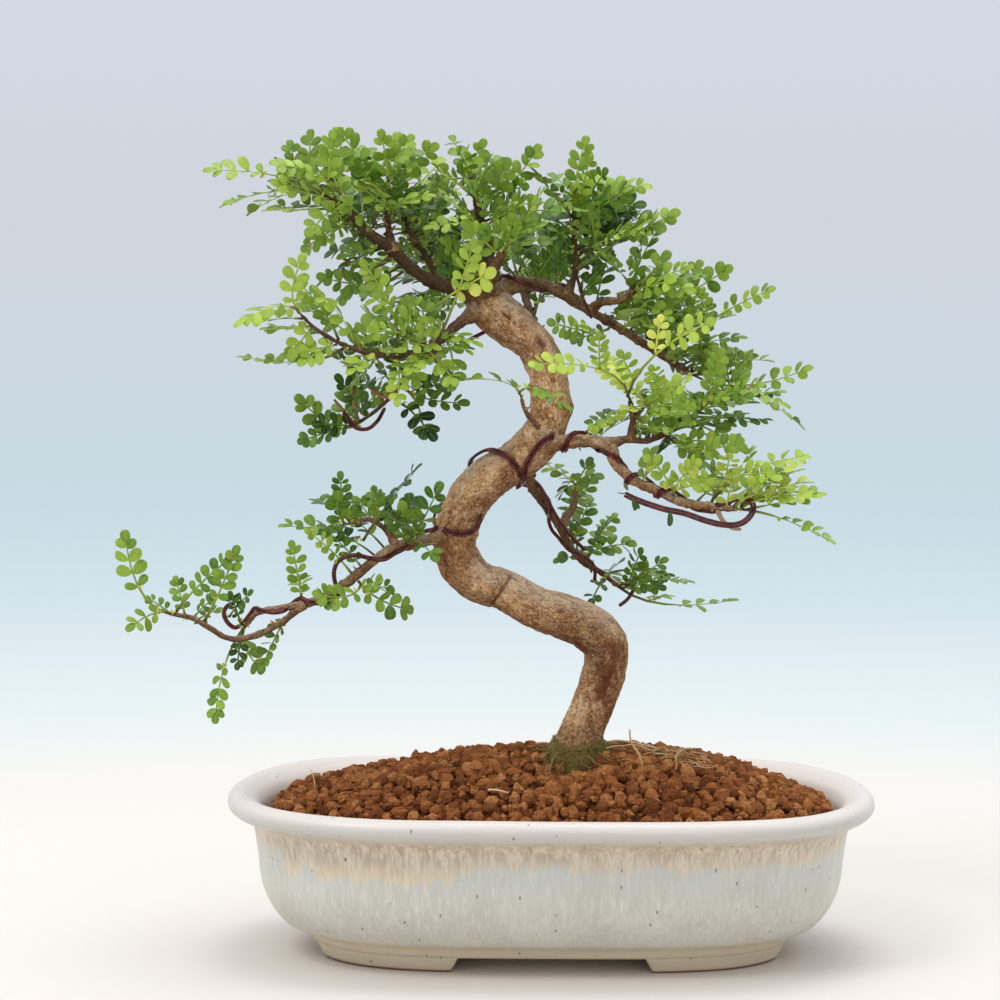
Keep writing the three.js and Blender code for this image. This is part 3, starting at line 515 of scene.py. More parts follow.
def makeFeet():
    # four feet under the ledge, each a section carried round a part of the plan outline
    section = np.array(pot["footSection"], float)
    share = 1 - section[:, 1] / pot["footTop"]
    halfX = pot["length"] / 2 - section[:, 0]
    halfY = pot["depth"] / 2 - section[:, 0]
    frontEnd = np.arccos(((pot["frontGap"] + pot["gapFlare"] * share) / halfX) ** 2)
    sideEnd = np.arcsin((pot["sideGap"] + pot["gapFlare"] * share) / halfY)
    w = np.concatenate([[0, 0.012], np.linspace(0.03, 0.97, 46), [0.988, 1]])[:, None]
    spans = [
        (sideEnd, frontEnd), (np.pi - frontEnd, np.pi - sideEnd),
        (np.pi + sideEnd, np.pi + frontEnd), (2 * np.pi - frontEnd, 2 * np.pi - sideEnd),
    ]
    shape = Shape()
    for start, end in spans:
        grid = potSurface(planOutline(start + (end - start) * w), section[:, 0], section[:, 1])
        middle = grid.mean(axis=1)
        for edge in (0, -1):
            grid[edge] = middle[edge] + (grid[edge] - middle[edge]) * 0.94
        points, faces = ringSkin(grid[:, ::-1], middle[0], middle[-1])
        shape.add(points, faces, inside=0.0)
    feet = shape.make("potFeet", bpy.data.materials["celadonGlaze"], "glaze")
    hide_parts("pot")


makePot()
makeFeet()
print("pot made")


# Soil

soil = {
    "peak": 115, "fall": 35, "inset": 20.4,
    "sink": 6.5,  # the bed lies this far under the grains' tops
    "rings": 30, "around": 176,
    "hollows": [  # place x and y, half widths, depth
        (-85, 0, 32, 200, 3.4), (-28, 0, 40, 200, 2.4), (6, -27, 26, 18, 12), (-148, 0, 17, 200, -6),
        (118, 0, 46, 200, -3),
    ],
    "layers": [-5.0, -0.6],  # heights of two layers of grains against the mound
    "step": 6.2, "grainSize": 7.0, "grainSpread": 0.28, "planes": 9,
    "grainSides": 7, "grainRings": 4, "grainLimits": (1.9, 5.6),
    "crumbs": 3600,
    "below": [(46.4, 18.9), (34.6, 22.8), (27.8, 36), (23.8, 62), (21.2, 71)],  # inset, height
    "trunkFoot": (14, 0),
    "seed": 11,
}
soilHalf = np.array([pot["length"] / 2 - soil["inset"], pot["depth"] / 2 - soil["inset"]])


def moundHeight(r, x, y):
    # peak - fall r^2.2, less round hollows: one towards each end, and one before the trunk
    hollow = sum(
        depth * np.exp(-((x - middleX) / wideX) ** 2 - ((y - middleY) / wideY) ** 2)
        for middleX, middleY, wideX, wideY, depth in soil["hollows"]
    )
    return soil["peak"] - soil["fall"] * r ** 2.2 - hollow * np.clip(1 - r ** 4, 0, 1)


def moundShare(x, y):
    # how far out a place is, from 0 in the middle to 1 on the inner wall's outline
    across, deep = np.abs(x / soilHalf[0]), np.abs(y / soilHalf[1])
    return np.sqrt((deep ** 2 + np.sqrt(deep ** 4 + 4 * across ** 4)) / 2)


def makeClay():
    paint = Paint("akadamaClay", Specular_IOR_Level=0.2)
    place = paint.place()
    # the tint also holds painted shade: the darkest tint on the bed and a darker one on the lower grains
    tint = paint.attribute("tint")
    crumb = paint.noise(place, 560, 4, 0.7)
    patch = paint.noise(place, 120, 3, 0.6)
    shade = paint.ramp(
        tint * 0.66 + patch * 0.34, (0.05, colour(74, 38, 20)), (0.3, colour(128, 73, 36)),
        (0.5, colour(166, 103, 54)), (0.75, colour(200, 140, 84)), (1.0, colour(224, 176, 122)),
    )
    # painted shade: darker where the bump's crumbs sink lowest
    shade = paint.mix(paint.mask(crumb, 0.56, 0.34) * 0.6, shade, colour(82, 40, 20))
    pale = paint.mask(paint.noise(place, 900, 2, 0.5), 0.64, 0.74)
    shade = paint.mix(pale * 0.5, shade, colour(204, 152, 104))
    height = crumb + patch * 0.6
    paint.set(Base_Color=shade, Roughness=0.95, Normal=paint.bump(height, 0.0020, 0.9))
    return paint.material


def makeSoil():
    clay = makeClay()
    rng = np.random.default_rng(soil["seed"])
    plan = evenOutline(soil["around"])
    rings = [
        np.column_stack([
            plan * [pot["length"] / 2 - inset, pot["depth"] / 2 - inset], np.full(len(plan), z),
        ])
        for inset, z in soil["below"]
    ]
    r = np.linspace(0.99, 0.03, soil["rings"])
    flat = plan[None] * soilHalf * r[:, None, None]
    top = np.concatenate([flat, np.zeros((*flat.shape[:2], 1))], -1)
    rise = moundHeight(r[:, None], flat[..., 0], flat[..., 1]) - soil["sink"]
    top[..., 2] = rise + 0.9 * layeredNoise(top / 7, 5)
    shape = Shape()
    ends = [(0, 0, soil["below"][0][1]), (0, 0, soil["peak"] - soil["sink"])]
    points, faces = ringSkin(np.concatenate([rings, top]), *ends)
    # painted shade: the bed between the grains takes the darkest tint
    shape.add(points, faces, tint=0.05)
    bed = shape.make("soilBed", clay, "soil")
    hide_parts("soil")

    # a grain is a small ball of rings, cut back by random planes to an angular clod
    sides, rows = soil["grainSides"], soil["grainRings"]
    turn = circle(sides)
    fall = np.linspace(0, np.pi, rows + 2)[1:-1]
    ball = np.stack([
        np.outer(np.sin(fall), np.cos(turn)), np.outer(np.sin(fall), np.sin(turn)),
        -np.outer(np.cos(fall), np.ones(sides)),
    ], -1).reshape(-1, 3)
    ball = np.concatenate([ball, [[0, 0, -1]], [[0, 0, 1]]])
    faces = ringFaces(rows, sides, poles=2)
    # two layers of places on a jittered grid inside the outline
    gx, gy = np.meshgrid(*[np.arange(-reach, reach, soil["step"]) for reach in soilHalf])
    cells = np.stack([gx.ravel(), gy.ravel()], -1)
    spots = np.concatenate([
        cells + (index % 2) * soil["step"] / 2 + rng.uniform(-0.42, 0.42, cells.shape) * soil["step"]
        for index in range(len(soil["layers"]))
    ])
    layer = np.repeat(soil["layers"], len(cells))
    out = moundShare(spots[:, 0], spots[:, 1])
    size = soil["grainSize"] / 2 * np.exp(rng.normal(0, soil["grainSpread"], len(spots)))
    size = np.clip(size, *soil["grainLimits"])
    keep = (out < 0.985 - size * 0.004) & (np.hypot(*(spots - soil["trunkFoot"]).T) > 16)
    spots, out, size, layer = spots[keep], out[keep], size[keep], layer[keep]
    count = len(spots)
    lift = layer - 0.55 * size + rng.uniform(-1.2, 1.2, count)
    centres = np.column_stack([spots, moundHeight(out, spots[:, 0], spots[:, 1]) + lift])
    # radius towards d = the least of cut / (d . n) over the planes n, and 1
    planes = unit(rng.normal(size=(count, soil["planes"], 3)))
    cut = rng.uniform(0.56, 0.96, (count, soil["planes"]))
    facing = np.einsum("pk,nqk->npq", ball, planes)
    radius = np.minimum(1.06, (cut[:, None] / np.maximum(facing, 0.05)).min(axis=2))
    radius *= 1 + 0.06 * rng.normal(size=radius.shape)
    stretch = rng.uniform(0.82, 1.2, (count, 1, 3))
    grown = ball[None] * radius[..., None] * stretch * size[:, None, None] + centres[:, None]
    # painted shade: the grains of the lower layer get a darker tint
    tint = np.clip(rng.normal(0.45, 0.17, count) + (layer < -2) * -0.2, 0, 1)
    nearTrunk = np.hypot(spots[:, 0] - 44, (spots[:, 1] - 16) * 1.6) < 36
    tint = np.where(nearTrunk & (layer > -2), np.clip(tint + 0.3, 0, 1), tint)
    shape = Shape()
    shape.add(grown, copies(faces, len(ball), count), tint=np.repeat(tint, len(ball)))
    grains = shape.make("soilGrains", clay, "soil", smooth=False)
    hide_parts("soil")
    # crumbs between the grains, each with six points and eight faces
    star = np.array([[1, 0, 0], [0, 1, 0], [-1, 0, 0], [0, -1, 0], [0, 0, -1], [0, 0, 1]])
    faces = ringFaces(1, 4, poles=2)[1:]
    spots = rng.uniform(-1, 1, (soil["crumbs"], 2)) * soilHalf
    out = moundShare(*spots.T)
    keep = (out < 0.97) & (np.hypot(*(spots - soil["trunkFoot"]).T) > 14)
    spots, out = spots[keep], out[keep]
    count = len(spots)
    size = rng.uniform(0.5, 1.5, (count, 1, 1))
    centres = np.column_stack([spots, moundHeight(out, *spots.T) + rng.uniform(-3.4, -0.4, count)])
    grown = star * size * rng.uniform(0.6, 1.3, (count, 6, 1)) + rng.normal(0, 0.15, (count, 6, 3)) * size
    tint = np.clip(rng.normal(0.55, 0.2, count), 0, 1)
    shape = Shape()
    shape.add(
        grown + centres[:, None], copies(faces, len(star), count), tint=np.repeat(tint, len(star)),
    )
    crumbs = shape.make("soilCrumbs", clay, "soil", smooth=False)
    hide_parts("soil")
    print("soil made,", count, "crumbs")


makeSoil()


# Wood

limbs = {
    "trunk": [
        (12, 0, 92, 10), (14, 0, 110, 15), (18, -1, 123, 12.8), (24, -3, 140, 11.6), (30, -6, 158, 11.2),
        (30, -7, 172, 12.2), (19, -6, 182, 12.8), (4, -3, 187, 12.4), (-10, 0, 191, 11.8),
        (-27, 5, 200, 10.8), (-41, 8, 205, 11.3), (-51, 9, 214, 12.2), (-55, 8, 226, 11.5),
        (-53, 7, 237, 12), (-46, 5, 252, 12.9), (-35, 2, 264, 12.9), (-24, 0, 271, 11.6),
        (-14, -4, 279, 11.2), (-6, -7, 289, 11.2), (-2, -8, 300, 11.2), (-2, -7, 313, 10.6),
        (-4, -5, 325, 10.4), (-10, 0, 337, 10.9), (-19, 3, 345, 11.8), (-28, 6, 352, 12.8),
        (-36, 8, 360, 12.4), (-39, 8, 366, 9),
    ],
    "crownLeft": [
        (-38, 8, 361, 7), (-50, 6, 367, 5.6), (-62, 3, 370, 4.6), (-76, 0, 377, 4), (-89, -5, 389, 3.9),
        (-105, -10, 401, 3.5), (-114, -14, 411, 2.6), (-122, -18, 417, 1.7),
    ],
    "riserA": [(-89, -5, 388, 2.8), (-92, -2, 405, 2.1), (-92, 2, 424, 1.4)],
    "riserB": [(-62, 3, 370, 2.8), (-70, 12, 384, 2.2), (-82, 22, 403, 2), (-87, 28, 420, 1.4)],
    "leftMid": [
        (-40, 7, 357, 7), (-54, 0, 348, 5.4), (-65, -10, 338, 3.9), (-84, -20, 332, 3),
        (-100, -27, 333, 2.6),
        (-113, -32, 337, 2.3), (-130, -38, 347, 1.8), (-138, -42, 355, 1.4),
    ],
    "leftHook": [
        (-65, -10, 338, 3), (-73, -4, 326, 2.6), (-82, 2, 318, 2.4), (-89, 8, 309, 2.1),
        (-100, 12, 299, 1.9),
        (-110, 16, 292, 1.5),
    ],
    "crownRight": [
        (-35, 8, 362, 6.4), (-25, 10, 369, 4.8), (-13, 14, 371, 3.7), (0, 18, 368, 3.3), (11, 22, 362, 3),
        (20, 25, 356, 2.7), (34, 28, 348, 2.4), (50, 30, 338, 2.3), (63, 30, 330, 2.1), (77, 28, 321, 1.5),
    ],
    "rightStub": [(20, 25, 356, 2.5), (28, 22, 361, 2.3), (37, 18, 362, 2), (45, 14, 368, 1.6)],
    "rightRiser": [(7, 20, 364, 2.8), (12, 24, 378, 2.4), (12, 28, 393, 2), (11, 30, 408, 1.4)],
    "leader": [
        (-36, 8, 362, 7), (-36, 12, 378, 5), (-38, 14, 394, 3.6), (-42, 12, 411, 2.4), (-46, 10, 426, 1.4),
    ],
    "deadSpike": [(-39, 4, 364, 5), (-34, -8, 378, 3.6), (-28, -18, 389, 1.8)],
    "rightMid": [
        (-9, -6, 281, 5.6), (2, -14, 284, 4.4), (15, -22, 286, 3.9), (30, -30, 283, 3.5),
        (34, -33, 274, 3.1),
        (44, -38, 265, 2.8), (56, -42, 260, 2.6), (70, -46, 254, 2.3), (87, -50, 252, 1.9),
        (100, -52, 251, 1.4),
    ],
    "rightUp": [
        (29, -30, 284, 3), (40, -28, 287, 2.6), (51, -24, 286, 2.4), (63, -20, 291, 2.2), (74, -16, 297, 2),
        (86, -10, 309, 1.4),
    ],
    "rightTwig": [(42, -28, 287, 2.2), (43, -32, 298, 1.8), (41, -38, 309, 1.4)],
    "backLow": [
        (-16, 2, 268, 4.6), (-11, 14, 257, 3.4), (-4, 24, 247, 2.9), (4, 34, 234, 2.6), (10, 42, 223, 2.4),
        (18, 48, 213, 2.2), (30, 54, 205, 1.9), (38, 58, 198, 1.4),
    ],
    "backTwig": [(5, 36, 232, 2.2), (9, 38, 240, 1.9), (13, 40, 247, 1.6), (13, 42, 254, 1.3)],
    "lowLeft": [
        (-55, 6, 230, 5), (-66, -4, 230, 3.6), (-77, -12, 228, 2.9), (-88, -18, 226, 2.5),
        (-100, -24, 218, 2.4),
        (-115, -30, 206, 2.5), (-127, -34, 199, 2.3), (-138, -36, 196, 2), (-150, -36, 194, 1.7),
        (-162, -34, 191, 1.5), (-168, -32, 184, 1.2),
    ],
    "lowTip": [
        (-136, -36, 196, 1.9), (-151, -42, 185, 1.6), (-166, -46, 179, 1.6), (-177, -48, 179, 1.5),
        (-187, -50, 185, 1.4), (-196, -50, 190, 1.2), (-207, -50, 192, 1),
    ],
    "lowUp": [(-86, -17, 227, 2.1), (-92, -20, 236, 1.9), (-101, -24, 242, 1.6), (-111, -26, 240, 1.2)],
    "trunkTwig": [(-4, -9, 288, 2.6), (-11, -22, 296, 1.9), (-16, -30, 303, 1.6), (-18, -34, 310, 1.2)],
    "backCrown": [
        (-7, 2, 333, 5), (-9, 30, 339, 3.8), (-12, 52, 349, 3.1), (-15, 70, 361, 2.4), (-19, 84, 372, 1.6),
    ],
    "backLeft": [(-29, 8, 356, 5.4), (-46, 34, 362, 3.8), (-59, 56, 370, 2.8), (-69, 72, 382, 1.6)],
}
courses = {name: Course(points) for name, points in limbs.items()}

bark = {
    "trunkSides": 132, "trunkStep": 0.7, "knobs": 0.03,
    "limbStep": 1.2,
    "roots": [(200, 20, 3.2), (322, 20, 3.0), (40, 22, 4), (125, 22, 4)],  # degrees, reach, radius
    "rootRings": 26, "rootSides": 18,
    # how dark each limb's own bark gets, from the trunk's tan, 0, to near black, 1
    "darkness": {
        "crownLeft": 0.9, "riserA": 0.9, "riserB": 0.9, "leader": 0.8, "leftHook": 0.75, "leftMid": 0.85,
        "backLow": 0.6, "backTwig": 0.7, "rightTwig": 0.85, "rightRiser": 0.8, "backCrown": 0.8,
        "backLeft": 0.8,
        "rightMid": 0.15, "lowLeft": 0.35, "rightStub": 0.3, "trunkTwig": 0.3, "crownRight": 0.5,
        "deadSpike": 0.1,
    },
    # the share of its radius that a limb loses past its first 14 mm
    "slimming": {
        "crownLeft": 0.2, "riserA": 0.3, "riserB": 0.25, "leftMid": 0.5, "leader": 0.2, "rightRiser": 0.35,
        "leftHook": 0.5, "trunkTwig": 0.25, "lowUp": 0.3, "rightUp": 0.3, "backLow": 0.2,
    },
    # marks on the front of the trunk, as lines between two places [x, z] and their half widths
    "marks": {
        "scar": ((-23, 209), (-33, 194), 0.8), "arc": ((-24, 274), (-21, 262), 0.6),
        "bend": ((-60, 222), (-58, 200), 0.8), "flecks": ((-28, 353), (-19, 350), 2.6),
        "ridged": ((16, 184), (27, 166), 8.0), "knot": ((-6, 338), (-8, 341), 2.2),
    },
    # darker patches, partly the bark's own brown and partly painted shade: right of the lower stem,
    # under the first bend and on the left bulge, each as a line, its half width and its strength
    "stainsAndShade": [
        ((33, 170), (28, 144), 7.0, 1.0), ((2, 176), (16, 172), 5.0, 0.5), ((-62, 232),
        (-55, 208), 5.0, 0.5),
    ],
    # swellings where old branches were cut, as x, y, z, half width and height: below and above
    # the first bend, right of the top, and on the left bulge
    "swellings": [
        (-13, -12, 180, 3.2, 2.8), (9, -2, 205, 4.2, 3.2), (11, -12, 303, 6, 2.0), (-50, -2, 258, 6, 0.9),
    ],
    "spurs": 90, "seed": 5,
    # dead twigs and stubs, as points [x, y, z, radius]
    "stubs": [
        [(77, 28, 321, 1.4), (73, 26, 321, 1.1), (68, 24, 318, 0.7)],
        [(86, -10, 309, 1.3), (95, -1, 311, 1.2), (103, 6, 312, 1.1), (114, 2, 316, 0.8)],
        [(88, -50, 251, 1.5), (91, -53, 245, 1.2), (96, -54, 241, 1.2), (101, -54, 240, 0.8)],
        [(-109, 16, 293, 1.3), (-111, 15, 305, 1.0), (-112, 14, 314, 0.7)],
        [(-109, 16, 292, 1.3), (-113, 15, 294, 1.2), (-117, 13, 300, 1.0), (-122, 12, 306, 0.7)],
        [(-87, 7, 311, 1.6), (-94, 6, 308, 1.3), (-103, 4, 314, 0.9)],
        [(-88, -4, 387, 1.8), (-97, -3, 381, 1.3), (-105, -2, 380, 1.2), (-114, -2, 383, 1.0),
        (-119, -2, 387, 0.7)],
    ],
}


def makeBark():
    paint = Paint("pepperBark", Specular_IOR_Level=0.25)
    grain = paint.attribute("grain", output=1)
    place = paint.place()
    age = paint.attribute("age")
    upward = paint.attribute("upward")
    mark = paint.attribute("mark")
    rough = paint.attribute("rough")
    fine = paint.noise(paint.stretch(grain, (1, 1, 0.6)), 1300, 4, 0.75)
    crumb = paint.noise(paint.stretch(grain, (1, 1, 0.75)), 620, 4, 0.72, 0.6)
    speckle = paint.noise(place, 1900, 3, 0.6)
    patch = paint.noise(place, 75, 5, 0.65)
    broad = paint.noise(place, 26, 2, 0.5)
    rustPatch = paint.noise(paint.stretch(grain, (1, 1, 0.5)), 150, 5, 0.7)
    shade = paint.ramp(
        patch * 0.34 + crumb * 0.30 + fine * 0.20 + speckle * 0.16, (0.37, colour(108, 62, 32)),
        (0.45, colour(172, 117, 69)), (0.51, colour(218, 166, 113)), (0.57, colour(246, 211, 169)),
        (0.65, colour(252, 234, 210)),
    )
    # painted light and shade: bark facing up turns paler, bark facing down darker brown
    top = paint.mask(upward, 0.05, 0.85)
    below = paint.mask(upward, -0.05, -0.8)
    shade = paint.mix(top * (0.46 + patch * 0.5), shade, colour(236, 210, 180))
    shade = paint.mix(below * 0.5, shade, colour(118, 68, 34))
    rust = paint.mask(rustPatch * 0.6 + broad * 0.4, 0.50, 0.60)
    shade = paint.mix(rust * 0.45, shade, colour(164, 98, 52))
    # short broken fissures, in some places only
    wave = paint.noise(paint.stretch(grain, (1, 1, 0.8)), 260, 4, 0.75, 1.0) - 0.5
    away = paint.add("Math", {"operation": "ABSOLUTE"}, {0: wave})
    crack = paint.mask(away, 0.022, 0.004) * paint.mask(rustPatch, 0.46, 0.58)
    shade = paint.mix(crack * 0.6, shade, colour(94, 52, 26))
    # painted shade in the low parts of the bump, and a painted highlight on its crests
    pitShade = paint.mask(crumb * 0.6 + fine * 0.4, 0.45, 0.37) * (1 - top * 0.5)
    shade = paint.mix(pitShade * 0.72, shade, colour(92, 48, 20))
    crestHighlight = paint.mask(crumb * 0.5 + fine * 0.5, 0.54, 0.62)
    shade = paint.mix(crestHighlight * 0.7, shade, colour(250, 228, 196))
    # flaking bark: edges of thin scales
    scales = paint.noise(paint.stretch(grain, (1, 1, 0.8)), 340, 4, 0.75, 1.2)
    flake = paint.add("Math", {"operation": "PINGPONG"}, {0: scales, 1: 0.09})
    edge = paint.mask(flake, 0.028, 0.006) * rough
    flaked = paint.mix(crumb, colour(112, 66, 34), colour(206, 160, 108))
    shade = paint.mix(rough * 0.45, shade, flaked)
    shade = paint.mix(edge * 0.7, shade, colour(84, 46, 20))
    # marks and darker patches; the patches are partly painted shade
    shade = paint.mix(mark, shade, colour(122, 64, 36))
    dark = paint.mix(fine * 0.5 + crumb * 0.5, colour(48, 30, 20), colour(120, 88, 62))
    # limbs darken with age, and painted light makes their upper faces paler
    shade = paint.mix(age, shade, paint.mix(top * 0.35, dark, colour(140, 108, 82)))
    height = fine * 0.45 + crumb * 0.75 + patch * 0.25 - crack * 0.7 - edge * 0.9
    paint.set(Base_Color=shade, Roughness=0.8 + fine * 0.15, Normal=paint.bump(height, 0.0026, 0.95))
    return paint.material


def lineDistance(points, start, end):
    # distance in the front view from each point to the line between two places [x, z]
    flat = points[..., [0, 2]] - np.array(start, float)
    line = np.array(end, float) - np.array(start, float)
    share = np.clip(flat @ line / max(line @ line, 1e-9), 0, 1)
    return np.linalg.norm(flat - share[..., None] * line, axis=-1)


def lineGlow(points, start, end, wide):
    # 1 on the line and falling to nothing beyond wide
    return np.exp(-(lineDistance(points, start, end) / wide) ** 2)


def barkPlace(radius, a, along):
    # straightened place on the bark: across on x and y, along on z
    x, y = radius * np.cos(a), radius * np.sin(a)
    return np.stack([x, y, np.broadcast_to(along[:, None], x.shape)], -1)


def trunkGrid():
    course = courses["trunk"]
    count = int(course.length / bark["trunkStep"])
    u = np.linspace(0, 1, count)
    a = circle(bark["trunkSides"])
    swell = np.sin(3 * a[None] + 9 * u[:, None]) + np.sin(2 * a[None] - 23 * u[:, None])
    radius = course.radius(u)[:, None] * (1 + bark["knobs"] * swell)
    grid, out = tube(course, u, radius, bark["trunkSides"])
    grain = barkPlace(radius, a, u * course.length)
    front = np.clip(-out[..., 1] * 1.6, 0, 1)
    marks = {name: lineGlow(grid, *mark) for name, mark in bark["marks"].items()}
    scar, arc, flecks = marks["scar"] * front, marks["arc"] * front, marks["flecks"] * front
    ridged, knot = marks["ridged"] * front, marks["knot"] * front
    bend = marks["bend"] * np.clip(-out[..., 1] + 0.3, 0, 1)
    base = np.clip((128 - grid[..., 2]) / 18, 0, 1)
    stainAndShade = sum(strength * lineGlow(grid, *line) for *line, strength in bark["stainsAndShade"])
    relief = 0.95 * layeredNoise(grain * [0.10, 0.10, 0.06], 21)
    relief += 0.30 * layeredNoise(grain * [0.42, 0.42, 0.24], 31)
    # crumbs of bark one to two millimetres across
    relief += 0.26 * layeredNoise(grain * [0.62, 0.62, 0.45], 81, 2)
    crease = np.abs(layeredNoise(grain * [0.30, 0.30, 0.10], 41, 2))
    relief -= 0.20 * np.exp(-(crease / 0.10) ** 2)
    plates = layeredNoise(grain * [0.42, 0.42, 0.3], 51, 2)
    relief += ridged * (1.1 * np.clip(plates, -0.4, 0.6)) + base * 0.7 * plates
    # the scar is a groove between two raised lips
    lips = np.exp(-((lineDistance(grid, *bark["marks"]["scar"][:2]) - 1.8) / 1.2) ** 2)
    relief += 0.45 * lips * front - scar * 0.8
    relief -= arc * 0.5 + bend * 0.9 + knot * 0.9
    for x, y, z, wide, high in bark["swellings"]:
        relief += high * np.exp(-(np.linalg.norm(grid - [x, y, z], axis=-1) / wide) ** 2)
    grid = grid + out * relief[..., None]
    upward = out[..., 2]
    mark = np.clip(scar * 0.85 + arc * 0.5 + bend * 0.8 + flecks * (plates > 0.1) + knot * 0.8, 0, 1)
    # the darker patches, partly painted shade, join the marks
    mark = np.maximum(mark, stainAndShade * front * np.clip(0.74 + 0.9 * plates, 0, 0.95))
    rough = np.clip(ridged * 1.2 + base, 0, 1)
    return grid, grain, upward, mark, rough, course


def makeWood():
    rng = np.random.default_rng(bark["seed"])
    shape = Shape()
    grid, grain, upward, mark, rough, course = trunkGrid()
    points, faces = ringSkin(grid, course.point(0)[0], course.point(1)[0])

    def capped(values):
        flat = values.reshape(-1, 3) if values.ndim == 3 else values.ravel()
        return np.concatenate([flat, flat[:1], flat[-1:]])

    shape.add(
        points, faces, grain=capped(grain * 0.001), upward=capped(upward), mark=capped(mark),
        rough=capped(rough), age=0.0,
    )
    for number, (name, limb) in enumerate(courses.items()):
        if name == "trunk":
            continue
        sides = 18 if limb.points[0, 3] > 4 else 12
        u = np.linspace(0, 1, max(8, int(limb.length / bark["limbStep"])))
        along = u * limb.length
        base = limb.radius(u) * (1 - bark["slimming"].get(name, 0) * np.clip(along / 14, 0, 1))
        lumps = np.column_stack([along / 3.4, np.full(len(u), number * 7.3), np.zeros(len(u))])
        collar = 0.4 * np.exp(-(along / 5.5) ** 2)
        joints = 0.16 * np.exp(-((np.mod(along + number * 3.1, 11) - 5.5) / 0.9) ** 2)
        radius = base * (1 + collar + joints + 0.15 * softNoise(lumps, 2)) + 0.10
        radius[-2:] *= [0.85, 0.5]
        bumps = barkPlace(radius[:, None], circle(sides), along)
        relief = 1 + 0.13 * layeredNoise(bumps * [0.5, 0.5, 0.45] + number * 9.1, 61, 2)
        tubeGrid, out = tube(limb, u, radius[:, None] * relief, sides)
        points, faces = ringSkin(tubeGrid, limb.point(0)[0], limb.point(1)[0])
        # thick limbs start from the trunk's own bark and darken on their way
        lightLength = 26 if limb.points[0, 3] > 6 else 10
        darkness = bark["darkness"].get(name, 0.6) * np.clip(0.15 + along / lightLength, 0, 1)
        rust = 0.35 if name == "deadSpike" else 0.0
        shape.add(
            points, faces, grain=capped(bumps * 0.001 + number * 0.07),
            upward=capped(out[..., 2]), mark=rust, rough=0.6 if name == "deadSpike" else 0.12,
            age=capped(np.repeat(darkness[:, None], sides, axis=1)),
        )
    # surface roots that run out from the trunk under the first grains
    footX, footY = soil["trunkFoot"]
    for degrees, reach, radius in bark["roots"]:
        a = math.radians(degrees)
        run = [(4, 120, radius + 1), (13, 113, radius), (reach, 104, radius * 0.45)]
        root = Course([(footX + d * math.cos(a), footY + d * math.sin(a), z, r) for d, z, r in run])
        u = np.linspace(0, 1, bark["rootRings"])
        sides = bark["rootSides"]
        grain = barkPlace(root.radius(u)[:, None], circle(sides), u * root.length)
        swell = root.radius(u)[:, None] * (1 + 0.14 * layeredNoise(grain * 0.3 + degrees, 71, 3))
        tubeGrid, _ = tube(root, u, swell, sides)
        points, faces = ringSkin(tubeGrid, root.point(0)[0], root.point(1)[0])
        shape.add(points, faces, grain=capped(grain * 0.001), upward=0.1, mark=0.1, rough=0.9, age=0.15)
    # short spurs and cut twig stubs along the limbs
    names = [name for name in limbs if name != "trunk"]
    for number in range(bark["spurs"]):
        limb = courses[names[number % len(names)]]
        u = rng.uniform(0.15, 0.95)
        side, other = limb.square(np.array([u]))
        a = rng.uniform(0, 2 * np.pi)
        out = side[0] * math.cos(a) + other[0] * math.sin(a) + limb.along(u)[0] * 0.5
        start = limb.point(u)[0]
        reach = limb.radius(u)[0] + rng.uniform(1.2, 3.4)
        bend = start + out * reach * 0.6
        end = start + out * reach + np.array([0, 0, rng.uniform(0, 1.0)])
        size = rng.uniform(0.5, 0.85)
        straightTube(
            shape, [start, bend, end], [size * 1.5, size, size * 0.45], 6, 0.8,
            grain=np.zeros((1, 3)), upward=0.0, mark=0.0, rough=0.2, age=rng.uniform(0.3, 0.9),
        )
    for stub in bark["stubs"]:
        stub = np.array(stub, float)
        straightTube(
            shape, stub[:, :3], stub[:, 3], 9, 0.9, grain=stub[:1, :3] * 0.001,
            upward=0.0, mark=0.0, rough=0.3, age=0.6,
        )
    wood = shape.make("woodTrunkAndLimbs", makeBark(), "bark")
    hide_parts("tree")
    print("wood made,", shape.count, "points")


makeWood()


# Moss, rootlets and straw on the soil, each run as a radius and points [x, y, z]

litter = {
    "rootlets": [
        (0.8, [(4, -13, 112), (0, -17, 108), (-1, -24, 105), (-4, -35, 102)]),
        (0.7, [(8, -14, 112), (7, -20, 107), (3, -30, 104)]),
        (0.8, [(17, -14, 113), (17, -22, 108), (21, -34, 106)]),
        (0.9, [(20, -12, 114), (23, -22, 109), (31, -40, 106)]),
        (0.6, [(24, -10, 114), (29, -20, 111), (33, -30, 109)]),
        (0.6, [(-1, -10, 112), (-5, -18, 107), (-7, -28, 104)]),
    ],
    "straws": [
        (0.8, [(50, -38, 106), (47, -38, 116), (43, -38, 122), (42, -38, 129)]),
        (0.85, [(78, -4, 113), (74, -12, 114), (69, -20, 112), (68, -42, 107)]),
        (0.6, [(27, -4, 116), (40, -5, 118), (50, -7, 116), (59, -8, 114)]),
        (0.5, [(78, 6, 110), (86, 11, 108), (94, 15, 104)]),
        (0.5, [(80, -14, 109), (92, -5, 106), (103, -4, 102)]),
        (0.5, [(84, -18, 108), (94, -22, 104), (101, -22, 102)]),
        (0.45, [(22, -10, 114), (34, -11, 115), (46, -8, 116), (55, -14, 114), (63, 12, 112)]),
    ],
    "splinters": [
        (0.6, [(-35, -70, 100), (-29, -72, 100), (-24, -75, 99)]),
        (0.4, [(-133, -20, 103), (-131, -21, 97), (-131, -20, 91)]),
    ],
    "clumpMiddle": (14.5, -4), "clumpRise": 8.0, "clumpReach": (12.0, 21.0),
    "clumpSides": 96, "clumpRings": 16,
    "mossCount": 2600, "mossHigh": (0.8, 2.2), "hairRoots": 14, "tangle": 46, "seed": 31,
}


